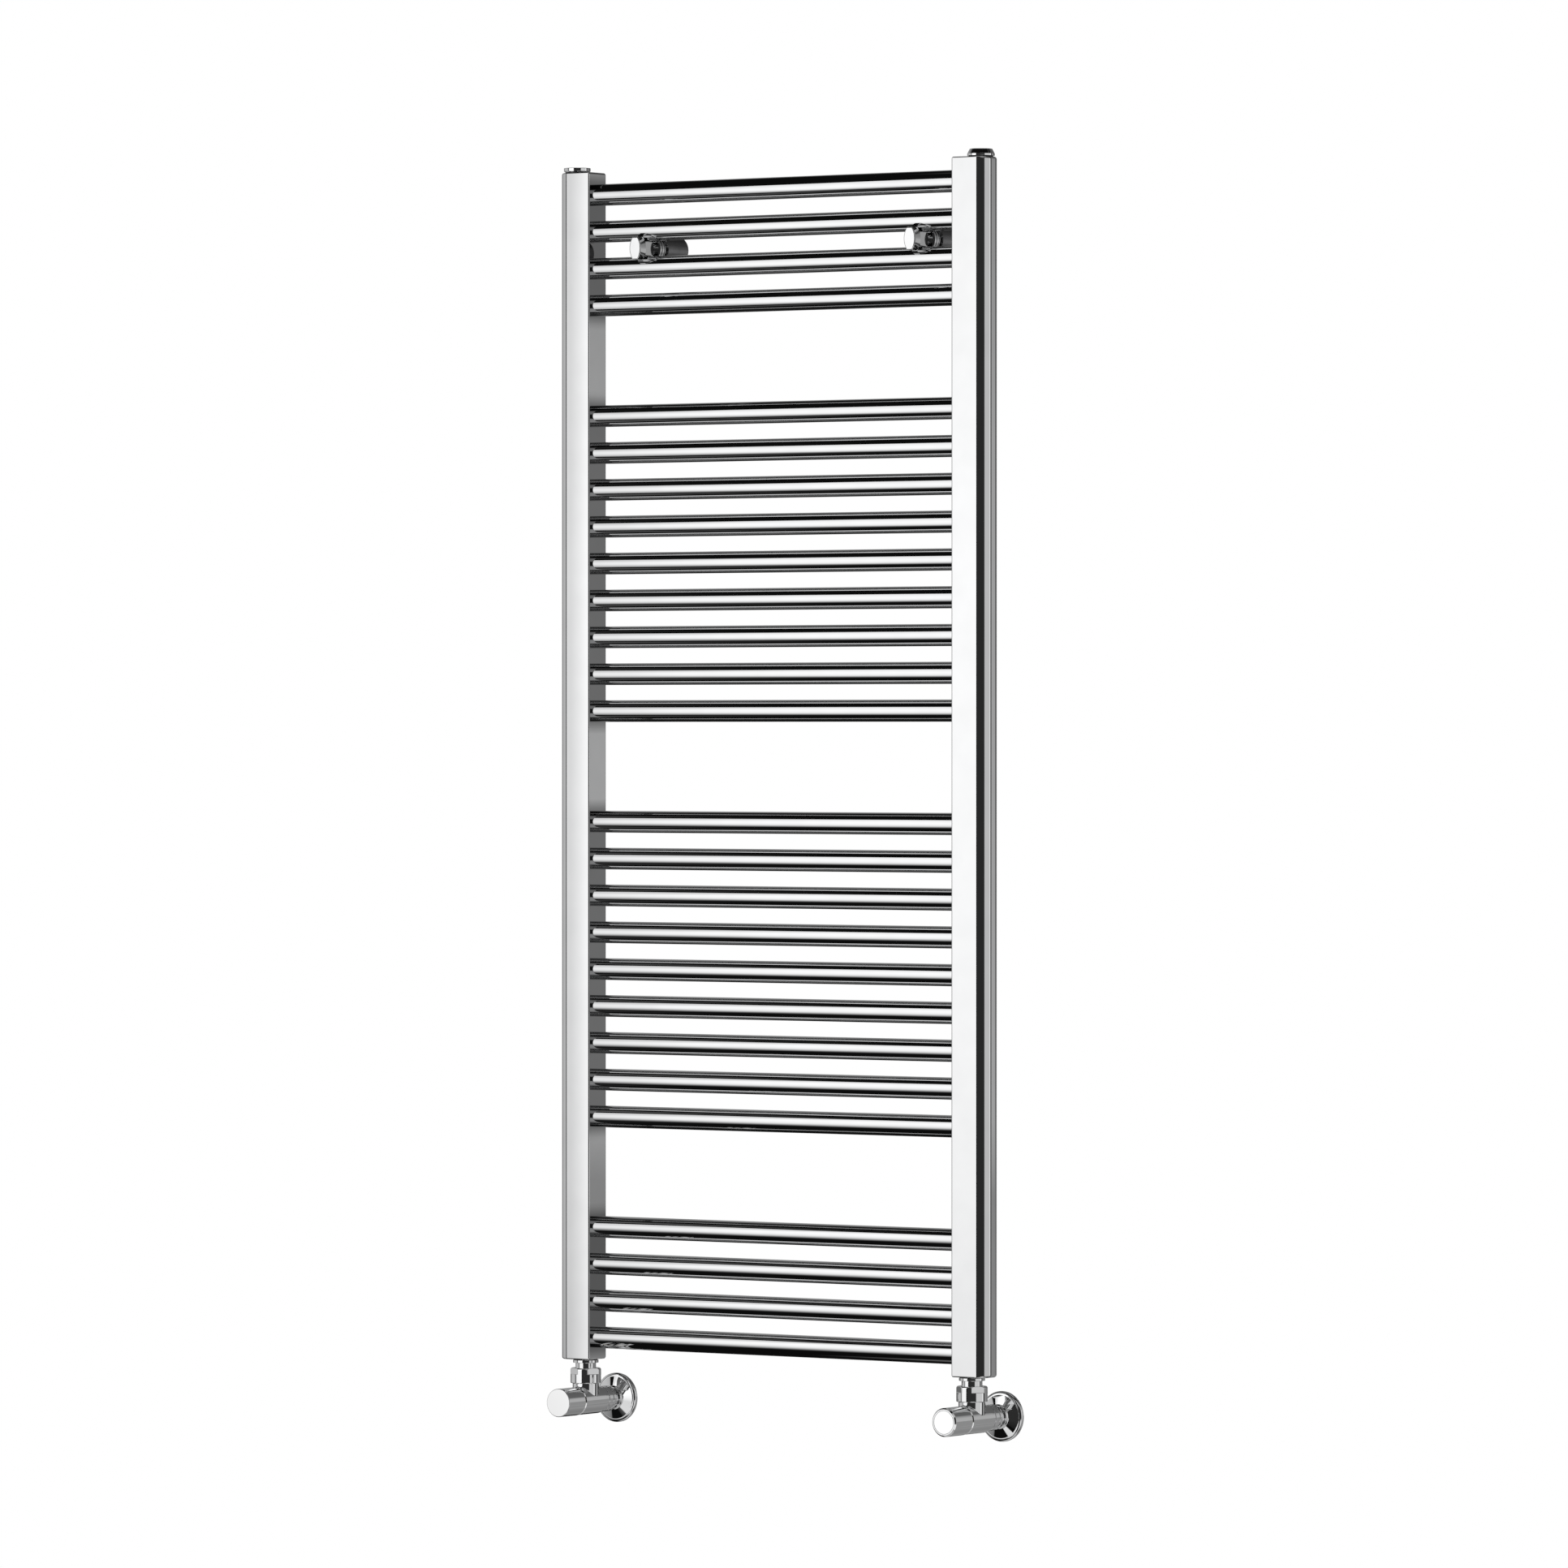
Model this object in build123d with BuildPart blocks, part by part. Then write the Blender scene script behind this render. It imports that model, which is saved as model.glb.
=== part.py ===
"""Ladder towel radiator with a lockshield valve on the left and a handwheel valve on the right.

Millimetres. The wall is the plane Y = 0 and the front faces -Y. X runs to the right and Z up. The origin
lies on the wall, midway between the screw holes of the two wall brackets.
"""
import os
from math import cos, radians, sin, tan

from build123d import *

os.makedirs("parts", exist_ok=True)

# Rail
RAIL_WIDTH = 520.0
AXIS_TO_WALL = 55.0  # from the axes of tubes, headers and valve necks to the wall

# Cross tubes
TUBE_DIAMETER = 22.0
TUBE_WALL = 1.2
TUBE_PITCH = 37.24
TUBE_GROUPS = (4, 9, 9, 4)
GROUP_STEP = 3  # pitches from the last tube of a group to the first of the next
TUBE_STAND_IN = 1.0  # how far a tube's end shows inside the header
TUBE_FIT = 0.05

# Headers and their end caps
HEADER_WIDTH = 40.0
HEADER_DEPTH = 30.0
HEADER_WALL = 1.6
HEADER_OUTER_RADIUS = 12.6
HEADER_INNER_RADIUS = 1.8
LEAST_FLAT = 0.2  # flat left beside a rounding that fills its side
TOP_MARGIN = 23.0  # first tube's axis to the top of the header
BOTTOM_MARGIN = 22.56  # last tube's axis to the foot of the header
CAP_THICKNESS = 6.0
CAP_EDGE_RADIUS = 2.5
BOSS_WALL = 1.8
BOSS_LENGTH = 4.0
SOCKET_INSET = 15.0  # valve socket axis from the header's inner face
PLUG_INSET = 25.5  # top plug axis from the header's inner face
THREAD_DIAMETER = 20.4
THREAD_LENGTH = 9.0
THREAD_FIT = 0.1

# Seals and top plugs
SEAL_WIDTH = 1.6
SEAL_THICKNESS = 0.8
SEAL_FIT = 0.2
VENT_PLUG_DIAMETER = 27.0
VENT_PLUG_HEIGHT = 4.3
VENT_PLUG_UNDERCUT = 1.4
VENT_PLUG_UNDERCUT_HEIGHT = 1.0
VENT_KEY_SIZE = 13.0
VENT_KEY_DEPTH = 2.0
VENT_SCREW_DIAMETER = 6.0
VENT_HEAD_DIAMETER = 9.0
VENT_HEAD_HEIGHT = 1.6
VENT_SLOT_WIDTH = 1.2
VENT_SLOT_DEPTH = 0.8
BLANK_PLUG_DIAMETER = 27.2
BLANK_PLUG_TOP_DIAMETER = 22.3
BLANK_PLUG_RIM = 2.0
BLANK_PLUG_HEIGHT = 6.8
BLANK_KEY_SIZE = 10.0
BLANK_KEY_DEPTH = 4.0
PLUG_EDGE = 0.5

# Wall brackets
LEFT_BRACKET_INSET = 59.0  # bracket's axis from the left header's inner face
RIGHT_BRACKET_INSET = 47.6
BRACKET_BELOW_TUBE = 2  # the brackets sit between this tube and the next one down
CLAMP_WIDTH = 13.7
CLAMP_END_WIDTH = 6.4
CLAMP_HEIGHT = 22.6
CLAMP_STAND = 7.0  # front of the clamp before the front of the tubes
CLAMP_LIP = 3.0  # how far the clamp reaches back past the front of the tubes
CLAMP_EDGE = 1.2
CLAMP_SEAT_GAP = 0.15
BLOCK_WIDTH = 12.6
BLOCK_LENGTH = 13.0
BLOCK_EDGE = 1.0
STUD_DIAMETER = 10.0
STUD_LENGTH = 33.0
STUD_FIT = 0.1
REAR_HUB_DIAMETER = 14.0
REAR_HUB_LENGTH = 4.0
RIDGE_DIAMETER = 25.0
RIDGE_ROOT_DIAMETER = 21.0
RIDGE_COUNT = 3
RIDGE_WIDTH = 2.4
RIDGE_GROOVE = 1.6
BRACKET_GAP = 0.3
SLEEVE_DIAMETER = 29.0
SLEEVE_FRONT = 13.0  # solid stretch of the sleeve round the stud
SLEEVE_CAVITY_DIAMETER = 22.0
SLEEVE_BASE = 4.0
SLEEVE_EDGE = 0.8
WALL_HOLE_DIAMETER = 5.5
GRUB_DIAMETER = 4.0
GRUB_LENGTH = 7.0
GRUB_KEY_SIZE = 2.0
GRUB_KEY_DEPTH = 2.0
GRUB_FIT = 0.05

# Tailpiece and union nut
WATERWAY_DIAMETER = 13.0
COLLAR_DIAMETER = 25.8
COLLAR_HEIGHT = 2.8
NECK_DIAMETER = 20.7
NECK_LENGTH = 8.2
TAIL_FLANGE_STEP = 1.25
TAIL_FLANGE_HEIGHT = 3.0
UNION_GAP = 0.2
NUT_WALL = 3.7
NUT_HEIGHT = 15.4
NUT_LIP = 2.8
NUT_TOP_EDGE = 1.2
NUT_FOOT_EDGE = 0.5
NUT_FLAT_DEPTH = 1.5
NUT_FLAT_HEIGHT = 6.2
NUT_TURNS = {"left": -22.0, "right": -33.0}  # where each nut's flats came to rest, in degrees

# Valve body
BODY_LENGTH = 36.0
BODY_NECK_INSET = 2.15  # neck inside the round of the union nut
BODY_NECK_SHOW = 3.4  # stretch of neck above the barrel
BODY_STEP = 0.65  # barrel outside the neck
BODY_EDGE = 0.8
BODY_BLEND = 1.5  # rounding where neck and barrel meet
CHAMBER_DIAMETER = 20.0
SEAT_PLACE = 7.0  # seat face behind the neck's axis
SEAT_THICKNESS = 2.5
SEAT_DIAMETER = 10.0
PIPE_DIAMETER = 15.0
PIPE_FIT = 0.1
PIPE_THREAD_DIAMETER = 20.0
PIPE_THREAD_LENGTH = 7.0

# Bonnet, spindle and valve plug
BONNET_LENGTH = 11.0  # stretch inside the body
BONNET_FLANGE_INSET = 1.25
BONNET_FLANGE_THICKNESS = 1.0
BONNET_HUB_DIAMETER = 12.6
BONNET_HUB_LENGTH = 11.8
GRIP_LENGTH = 5.0
FACE_GAP = 0.15
SPINDLE_DIAMETER = 7.0
SPINDLE_FIT = 0.05
THRUST_DIAMETER = 9.6
THRUST_THICKNESS = 1.2
SCREW_DIAMETER = 6.0
SCREW_LENGTH = 10.0
SCREW_FIT = 0.1
DRIVE_SIZE = 6.0
DRIVE_LENGTH = 9.5
LOCK_KEY_SIZE = 4.0
LOCK_KEY_DEPTH = 4.0
STEM_SIZE = 10.0
STEM_FIT = 0.1
STEM_END_GAP = 0.6  # stem to thrust collar when fully open
SCREW_END_GAP = 2.5
DISC_DIAMETER = 15.0
DISC_THICKNESS = 3.0
SEAT_GAP = 0.2
PLUG_LIFT = 4.0  # travel from shut to fully open

# Lockshield cap and handwheel
KNOB_DIAMETER = 28.5
KNOB_GAP = 0.4
KNOB_EDGE = 0.6
CAP_LENGTH = 28.0
CAP_FRONT = 2.5
CAP_WALL = 2.15
GRIP_FIT = 0.1
WHEEL_LENGTH = 30.4
WHEEL_FRONT = 8.5
WHEEL_SKIRT = 2.8
WHEEL_HUB_DIAMETER = 12.0
WHEEL_CHAMFER = 1.4
DRIVE_FIT = 0.05
INSET_RIM = 2.75
INSET_THICKNESS = 1.5
INSET_FIT = 0.1
INSET_EDGE = 0.3

# Pipe nut and rosette
PIPE_NUT_DIAMETER = 26.0
PIPE_NUT_LENGTH = 17.6
PIPE_NUT_GROOVES = (4.9, 12.3)  # start of each groove behind the nut's front
PIPE_NUT_GROOVE = 0.7
PIPE_NUT_GROOVE_WIDTH = 1.2
PIPE_TAIL_DIAMETER = 19.6
PIPE_TAIL_FROM_WALL = 6.0
ROSETTE_DIAMETER = 50.0
ROSETTE_FACE_DIAMETER = 43.0
ROSETTE_DEPTH = 11.4
ROSETTE_SHELL = 1.4
ROSETTE_NECK_LENGTH = 2.0
ROSETTE_BEND = 1.6
ROSETTE_SLOPE = 19.0  # face of the rosette to the wall, in degrees
ROSETTE_LIP = 2.4
ROSETTE_FIT = 0.2

# Places that follow from the sizes
AXIS_Y = -AXIS_TO_WALL
TUBE_RADIUS = TUBE_DIAMETER / 2
FIRST_TUBE_Z = (BRACKET_BELOW_TUBE - 0.5) * TUBE_PITCH
TUBE_STEPS = []
for group_size in TUBE_GROUPS:
    first_step = TUBE_STEPS[-1] + GROUP_STEP if TUBE_STEPS else 0
    TUBE_STEPS.extend(range(first_step, first_step + group_size))
TUBE_HEIGHTS = [FIRST_TUBE_Z - step * TUBE_PITCH for step in TUBE_STEPS]
HEADER_TOP = TUBE_HEIGHTS[0] + TOP_MARGIN
HEADER_FOOT = TUBE_HEIGHTS[-1] - BOTTOM_MARGIN
INNER_FACE = RAIL_WIDTH / 2 - HEADER_WIDTH  # header's inner face from the rail's middle
RAIL_OFFSET = (RIGHT_BRACKET_INSET - LEFT_BRACKET_INSET) / 2  # rail's middle from the brackets' middle
BRACKET_SPACING = 2 * INNER_FACE - LEFT_BRACKET_INSET - RIGHT_BRACKET_INSET
SOCKET_REACH = INNER_FACE + SOCKET_INSET  # valve socket axis from the rail's middle
PLUG_REACH = INNER_FACE + PLUG_INSET
SOCKET_DIAMETER = THREAD_DIAMETER + 2 * THREAD_FIT
SEAL_BORE_RADIUS = THREAD_DIAMETER / 2 + SEAL_FIT
BODY_HALF = BODY_LENGTH / 2
TAIL_FLANGE_DIAMETER = NECK_DIAMETER + 2 * TAIL_FLANGE_STEP
TAIL_FLANGE_TOP = -SEAL_THICKNESS - COLLAR_HEIGHT - NECK_LENGTH
SPIGOT_TOP = TAIL_FLANGE_TOP - TAIL_FLANGE_HEIGHT - UNION_GAP
NUT_TOP = TAIL_FLANGE_TOP + UNION_GAP + NUT_LIP
NUT_FOOT = NUT_TOP - NUT_HEIGHT
NUT_CAVITY_DIAMETER = TAIL_FLANGE_DIAMETER + 2 * UNION_GAP
NUT_DIAMETER = NUT_CAVITY_DIAMETER + 2 * NUT_WALL
NUT_SIZE = NUT_DIAMETER - 2 * NUT_FLAT_DEPTH  # across the flats
BODY_NECK_DIAMETER = NUT_DIAMETER - 2 * BODY_NECK_INSET
BODY_DIAMETER = BODY_NECK_DIAMETER + 2 * BODY_STEP
SHOULDER_Z = HEADER_FOOT + NUT_FOOT - 2 * UNION_GAP  # top of the body's neck, under the nut
VALVE_Z = SHOULDER_Z - BODY_NECK_SHOW - BODY_DIAMETER / 2
GRIP_DIAMETER = KNOB_DIAMETER - 2 * (CAP_WALL + GRIP_FIT)
BONNET_FLANGE_DIAMETER = KNOB_DIAMETER - 2 * BONNET_FLANGE_INSET
INSET_DIAMETER = KNOB_DIAMETER - 2 * INSET_RIM
PIPE_BORE_RADIUS = PIPE_DIAMETER / 2 + PIPE_FIT
BONNET_FRONT = -BODY_HALF - FACE_GAP - BONNET_FLANGE_THICKNESS  # front face of the bonnet's flange
HUB_FRONT = BONNET_FRONT - BONNET_HUB_LENGTH
THRUST_FRONT = BONNET_FRONT + FACE_GAP
THRUST_BACK = THRUST_FRONT + THRUST_THICKNESS
KNOB_BACK = BONNET_FRONT - KNOB_GAP
DISC_BACK = SEAT_PLACE - SEAT_GAP
STEM_BACK = DISC_BACK - DISC_THICKNESS
STEM_FRONT = THRUST_BACK + STEM_END_GAP + PLUG_LIFT
SLEEVE_START = BLOCK_LENGTH - TUBE_RADIUS + CLAMP_LIP + BRACKET_GAP + REAR_HUB_LENGTH + BRACKET_GAP
SLEEVE_START += RIDGE_COUNT * RIDGE_WIDTH + (RIDGE_COUNT - 1) * RIDGE_GROOVE
SIDES = {"left": -1, "right": 1}


def save(piece, label):
    """Label a finished piece and write it to its own file."""
    piece.label = label
    export_step(piece, f"parts/{label}.step")


def socket_x(side):
    """X of the valve socket axis at the foot of the header on one side, -1 left or 1 right."""
    return RAIL_OFFSET + side * SOCKET_REACH


def plug_x(side):
    """X of the plug axis on top of the header on one side."""
    return RAIL_OFFSET + side * PLUG_REACH


def upright_plane(x):
    """Plane through an upright axis: first coordinate out from the axis, second is the height."""
    return Plane(origin=(x, AXIS_Y, 0), x_dir=(1, 0, 0), z_dir=(0, -1, 0))


def level_plane(x, z):
    """Plane through a level axis to the wall: first coordinate out from it, second towards the wall."""
    return Plane(origin=(x, AXIS_Y, z), x_dir=(1, 0, 0), z_dir=(0, 0, 1))


def cross_plane(x, z, reach):
    """Plane across a level axis to the wall, reach behind the tubes' plane, facing the wall."""
    return Plane(origin=(x, AXIS_Y + reach, z), x_dir=(-1, 0, 0), z_dir=(0, 1, 0))


def turned_upright(x, outline):
    """Piece turned about an upright axis from an outline of (radius, height) points."""
    with BuildPart() as turned:
        with BuildSketch(upright_plane(x)):
            with BuildLine():
                Polyline(*outline, close=True)
            make_face()
        revolve(axis=Axis((x, AXIS_Y, 0), (0, 0, 1)))
    return turned.part


def turned_level(x, z, outline):
    """Piece turned about a level axis to the wall from an outline of (radius, reach) points."""
    with BuildPart() as turned:
        with BuildSketch(level_plane(x, z)):
            with BuildLine():
                Polyline(*outline, close=True)
            make_face()
        revolve(axis=Axis((x, AXIS_Y, z), (0, 1, 0)))
    return turned.part


def header_outline(side, shrink):
    """Header section, drawn in the current sketch and shrunk all round: round outside, flat inside."""
    width = HEADER_WIDTH - 2 * shrink
    depth = HEADER_DEPTH - 2 * shrink
    outer_radius = min(HEADER_OUTER_RADIUS - shrink, depth / 2 - LEAST_FLAT)
    inner_radius = max(HEADER_INNER_RADIUS - shrink, LEAST_FLAT)
    middle = RAIL_OFFSET + side * (RAIL_WIDTH - HEADER_WIDTH) / 2
    with Locations((middle, AXIS_Y)):
        section = Rectangle(width, depth)
    corners = section.vertices().sort_by(Axis.X)
    if side < 0:
        corners = corners[::-1]
    fillet(corners[:2], radius=inner_radius)
    fillet(corners[2:], radius=outer_radius)


def make_header(side):
    """Hollow upright header with a hole for each tube in its inner face."""
    with BuildPart() as header:
        with BuildSketch(Plane.XY.offset(HEADER_FOOT + CAP_THICKNESS)):
            header_outline(side, 0)
        extrude(amount=HEADER_TOP - HEADER_FOOT - 2 * CAP_THICKNESS)
        with BuildSketch(Plane.XY.offset(HEADER_FOOT + CAP_THICKNESS)):
            header_outline(side, HEADER_WALL)
        extrude(amount=HEADER_TOP - HEADER_FOOT - 2 * CAP_THICKNESS, mode=Mode.SUBTRACT)
        inner_face = Plane(
            origin=(RAIL_OFFSET + side * INNER_FACE, AXIS_Y, 0), x_dir=(0, 1, 0), z_dir=(side, 0, 0)
        )
        with BuildSketch(inner_face):
            with Locations(*[(0, side * height) for height in TUBE_HEIGHTS]):
                Circle(TUBE_RADIUS + TUBE_FIT)
        extrude(amount=HEADER_WALL + TUBE_STAND_IN, mode=Mode.SUBTRACT)
    return header.part


def make_end_cap(side, top):
    """End cap of a header with rounded rim and threaded socket; top is 1 at the head, -1 at the foot."""
    end_z = HEADER_TOP if top > 0 else HEADER_FOOT
    x = plug_x(side) if top > 0 else socket_x(side)
    with BuildPart() as end_cap:
        with BuildSketch(Plane.XY.offset(end_z - top * CAP_THICKNESS)):
            header_outline(side, 0)
        extrude(amount=top * CAP_THICKNESS)
        rim = end_cap.faces().sort_by(Axis.Z)[-1 if top > 0 else 0].edges()
        fillet(rim, radius=min(CAP_EDGE_RADIUS, CAP_THICKNESS - LEAST_FLAT))
        with BuildSketch(Plane.XY.offset(end_z - top * (CAP_THICKNESS + BOSS_LENGTH))):
            header_outline(side, HEADER_WALL + TUBE_FIT)
            with Locations((x, AXIS_Y)):
                Circle(SOCKET_DIAMETER / 2 + BOSS_WALL, mode=Mode.INTERSECT)
        extrude(amount=top * BOSS_LENGTH)
        with BuildSketch(Plane.XY.offset(end_z)):
            with Locations((x, AXIS_Y)):
                Circle(SOCKET_DIAMETER / 2)
        extrude(amount=-top * (CAP_THICKNESS + BOSS_LENGTH), mode=Mode.SUBTRACT)
    return end_cap.part


def make_tube(height):
    """Cross tube, with its ends just inside both headers."""
    reach = INNER_FACE + HEADER_WALL + TUBE_STAND_IN
    with BuildPart() as tube:
        with BuildSketch(Plane(origin=(RAIL_OFFSET, AXIS_Y, height), x_dir=(0, 1, 0), z_dir=(1, 0, 0))):
            Circle(TUBE_RADIUS)
            Circle(TUBE_RADIUS - TUBE_WALL, mode=Mode.SUBTRACT)
        extrude(amount=reach, both=True)
    return tube.part


def make_seals():
    """Four flat rings: one under each top plug and one above each tailpiece."""
    with BuildPart() as seals:
        for side in SIDES.values():
            for x, base in ((plug_x(side), HEADER_TOP), (socket_x(side), HEADER_FOOT - SEAL_THICKNESS)):
                with BuildSketch(Plane.XY.offset(base)):
                    with Locations((x, AXIS_Y)):
                        Circle(SEAL_BORE_RADIUS + SEAL_WIDTH)
                        Circle(SEAL_BORE_RADIUS, mode=Mode.SUBTRACT)
                extrude(amount=SEAL_THICKNESS)
    return seals.part


def make_vent_plug(side):
    """Low round plug with an undercut side, a key recess on top and the bore of the vent screw."""
    base = HEADER_TOP + SEAL_THICKNESS
    top = base + VENT_PLUG_HEIGHT
    foot = base - SEAL_THICKNESS - THREAD_LENGTH
    radius = VENT_PLUG_DIAMETER / 2
    bore = VENT_SCREW_DIAMETER / 2 + SPINDLE_FIT
    with BuildPart() as vent_plug:
        add(
            turned_upright(
                plug_x(side),
                [
                    (bore, foot),
                    (THREAD_DIAMETER / 2, foot),
                    (THREAD_DIAMETER / 2, base),
                    (radius - VENT_PLUG_UNDERCUT, base),
                    (radius, base + VENT_PLUG_UNDERCUT_HEIGHT),
                    (radius, top - PLUG_EDGE),
                    (radius - PLUG_EDGE, top),
                    (bore, top),
                ],
            )
        )
        with BuildSketch(Plane.XY.offset(top)):
            with Locations((plug_x(side), AXIS_Y)):
                RegularPolygon(VENT_KEY_SIZE / 2, 6, major_radius=False)
        extrude(amount=-VENT_KEY_DEPTH, mode=Mode.SUBTRACT)
    return vent_plug.part


def make_vent_screw(side):
    """Slotted bleed screw that sits in the vent plug's key recess."""
    seat = HEADER_TOP + SEAL_THICKNESS + VENT_PLUG_HEIGHT - VENT_KEY_DEPTH + FACE_GAP
    foot = HEADER_TOP - THREAD_LENGTH
    head_top = seat + VENT_HEAD_HEIGHT
    with BuildPart() as vent_screw:
        add(
            turned_upright(
                plug_x(side),
                [
                    (0, foot),
                    (VENT_SCREW_DIAMETER / 2, foot),
                    (VENT_SCREW_DIAMETER / 2, seat),
                    (VENT_HEAD_DIAMETER / 2, seat),
                    (VENT_HEAD_DIAMETER / 2, head_top),
                    (0, head_top),
                ],
            )
        )
        with BuildSketch(Plane.XY.offset(head_top)):
            with Locations((plug_x(side), AXIS_Y)):
                Rectangle(VENT_HEAD_DIAMETER, VENT_SLOT_WIDTH)
        extrude(amount=-VENT_SLOT_DEPTH, mode=Mode.SUBTRACT)
    return vent_screw.part


def make_blanking_plug(side):
    """Plug with a conical upper edge and a key socket on top."""
    base = HEADER_TOP + SEAL_THICKNESS
    top = base + BLANK_PLUG_HEIGHT
    foot = HEADER_TOP - THREAD_LENGTH
    with BuildPart() as blanking_plug:
        add(
            turned_upright(
                plug_x(side),
                [
                    (0, foot),
                    (THREAD_DIAMETER / 2, foot),
                    (THREAD_DIAMETER / 2, base),
                    (BLANK_PLUG_DIAMETER / 2, base),
                    (BLANK_PLUG_DIAMETER / 2, base + BLANK_PLUG_RIM),
                    (BLANK_PLUG_TOP_DIAMETER / 2, top - PLUG_EDGE),
                    (BLANK_PLUG_TOP_DIAMETER / 2 - PLUG_EDGE, top),
                    (0, top),
                ],
            )
        )
        with BuildSketch(Plane.XY.offset(top)):
            with Locations((plug_x(side), AXIS_Y)):
                RegularPolygon(BLANK_KEY_SIZE / 2, 6, major_radius=False)
        extrude(amount=-BLANK_KEY_DEPTH, mode=Mode.SUBTRACT)
    return blanking_plug.part


def tube_seats(x):
    """The two tubes beside a bracket with their seat gap, as a tool that cuts the clamps' seats."""
    with BuildPart() as seats:
        with BuildSketch(Plane(origin=(x, AXIS_Y, 0), x_dir=(0, 1, 0), z_dir=(1, 0, 0))):
            with Locations((0, TUBE_PITCH / 2), (0, -TUBE_PITCH / 2)):
                Circle(TUBE_RADIUS + CLAMP_SEAT_GAP)
        extrude(amount=SLEEVE_DIAMETER, both=True)
    return seats.part


def make_front_clamp(x):
    """Barrel-shaped clamp before two tubes, with the block between them and the stud behind it."""
    front = -TUBE_RADIUS - CLAMP_STAND
    lip = -TUBE_RADIUS + CLAMP_LIP
    half_height = CLAMP_HEIGHT / 2
    block_height = TUBE_PITCH - TUBE_DIAMETER - 2 * CLAMP_SEAT_GAP
    with BuildPart() as front_clamp:
        with BuildSketch(cross_plane(x, 0, front)):
            with BuildLine():
                Line((-CLAMP_END_WIDTH / 2, half_height), (CLAMP_END_WIDTH / 2, half_height))
                ThreePointArc(
                    (CLAMP_END_WIDTH / 2, half_height),
                    (CLAMP_WIDTH / 2, 0),
                    (CLAMP_END_WIDTH / 2, -half_height),
                )
                Line((CLAMP_END_WIDTH / 2, -half_height), (-CLAMP_END_WIDTH / 2, -half_height))
                ThreePointArc(
                    (-CLAMP_END_WIDTH / 2, -half_height),
                    (-CLAMP_WIDTH / 2, 0),
                    (-CLAMP_END_WIDTH / 2, half_height),
                )
            make_face()
        extrude(amount=lip - front)
        fillet(front_clamp.faces().sort_by(Axis.Y)[0].edges(), radius=CLAMP_EDGE)
        with BuildSketch(cross_plane(x, 0, lip)):
            RectangleRounded(BLOCK_WIDTH, block_height, BLOCK_EDGE)
        extrude(amount=BLOCK_LENGTH)
        add(tube_seats(x), mode=Mode.SUBTRACT)
        with BuildSketch(cross_plane(x, 0, lip + BLOCK_LENGTH)):
            Circle(STUD_DIAMETER / 2)
        extrude(amount=STUD_LENGTH)
    return front_clamp.part


def make_rear_clamp(x):
    """Ridged ring on the stud, seated against the backs of two tubes."""
    start = -TUBE_RADIUS + CLAMP_LIP + BLOCK_LENGTH + BRACKET_GAP
    bore = STUD_DIAMETER / 2 + STUD_FIT
    outline = [(bore, start), (REAR_HUB_DIAMETER / 2, start)]
    reach = start + REAR_HUB_LENGTH
    outline.append((REAR_HUB_DIAMETER / 2, reach))
    for ridge in range(RIDGE_COUNT):
        outline.append((RIDGE_DIAMETER / 2, reach))
        reach += RIDGE_WIDTH
        outline.append((RIDGE_DIAMETER / 2, reach))
        if ridge < RIDGE_COUNT - 1:
            outline.append((RIDGE_ROOT_DIAMETER / 2, reach))
            reach += RIDGE_GROOVE
            outline.append((RIDGE_ROOT_DIAMETER / 2, reach))
    outline.append((bore, reach))
    with BuildPart() as rear_clamp:
        add(turned_level(x, 0, outline))
        add(tube_seats(x), mode=Mode.SUBTRACT)
    return rear_clamp.part


def make_wall_sleeve(x):
    """Wall sleeve: solid round the stud at the front, hollow behind, with the screw hole in its base."""
    bore = STUD_DIAMETER / 2 + STUD_FIT
    radius = SLEEVE_DIAMETER / 2
    cavity = SLEEVE_CAVITY_DIAMETER / 2
    hollow_start = SLEEVE_START + SLEEVE_FRONT
    base = AXIS_TO_WALL - SLEEVE_BASE
    with BuildPart() as wall_sleeve:
        add(
            turned_level(
                x,
                0,
                [
                    (bore, SLEEVE_START),
                    (radius - SLEEVE_EDGE, SLEEVE_START),
                    (radius, SLEEVE_START + SLEEVE_EDGE),
                    (radius, AXIS_TO_WALL),
                    (WALL_HOLE_DIAMETER / 2, AXIS_TO_WALL),
                    (WALL_HOLE_DIAMETER / 2, base),
                    (cavity, base),
                    (cavity, hollow_start),
                    (bore, hollow_start),
                ],
            )
        )
        with BuildSketch(Plane.XY.offset(-radius)):
            with Locations((x, AXIS_Y + SLEEVE_START + SLEEVE_FRONT / 2)):
                Circle(GRUB_DIAMETER / 2 + GRUB_FIT)
        extrude(amount=radius, mode=Mode.SUBTRACT)
    return wall_sleeve.part


def make_grub_screws():
    """Set screws from below that hold each stud in its wall sleeve."""
    tip = -STUD_DIAMETER / 2 - STUD_FIT
    with BuildPart() as grub_screws:
        for x in (-BRACKET_SPACING / 2, BRACKET_SPACING / 2):
            centre = (x, AXIS_Y + SLEEVE_START + SLEEVE_FRONT / 2)
            with BuildSketch(Plane.XY.offset(tip - GRUB_LENGTH)):
                with Locations(centre):
                    Circle(GRUB_DIAMETER / 2)
            extrude(amount=GRUB_LENGTH)
            with BuildSketch(Plane.XY.offset(tip - GRUB_LENGTH)):
                with Locations(centre):
                    RegularPolygon(GRUB_KEY_SIZE / 2, 6, major_radius=False)
            extrude(amount=GRUB_KEY_DEPTH, mode=Mode.SUBTRACT)
    return grub_screws.part


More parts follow.
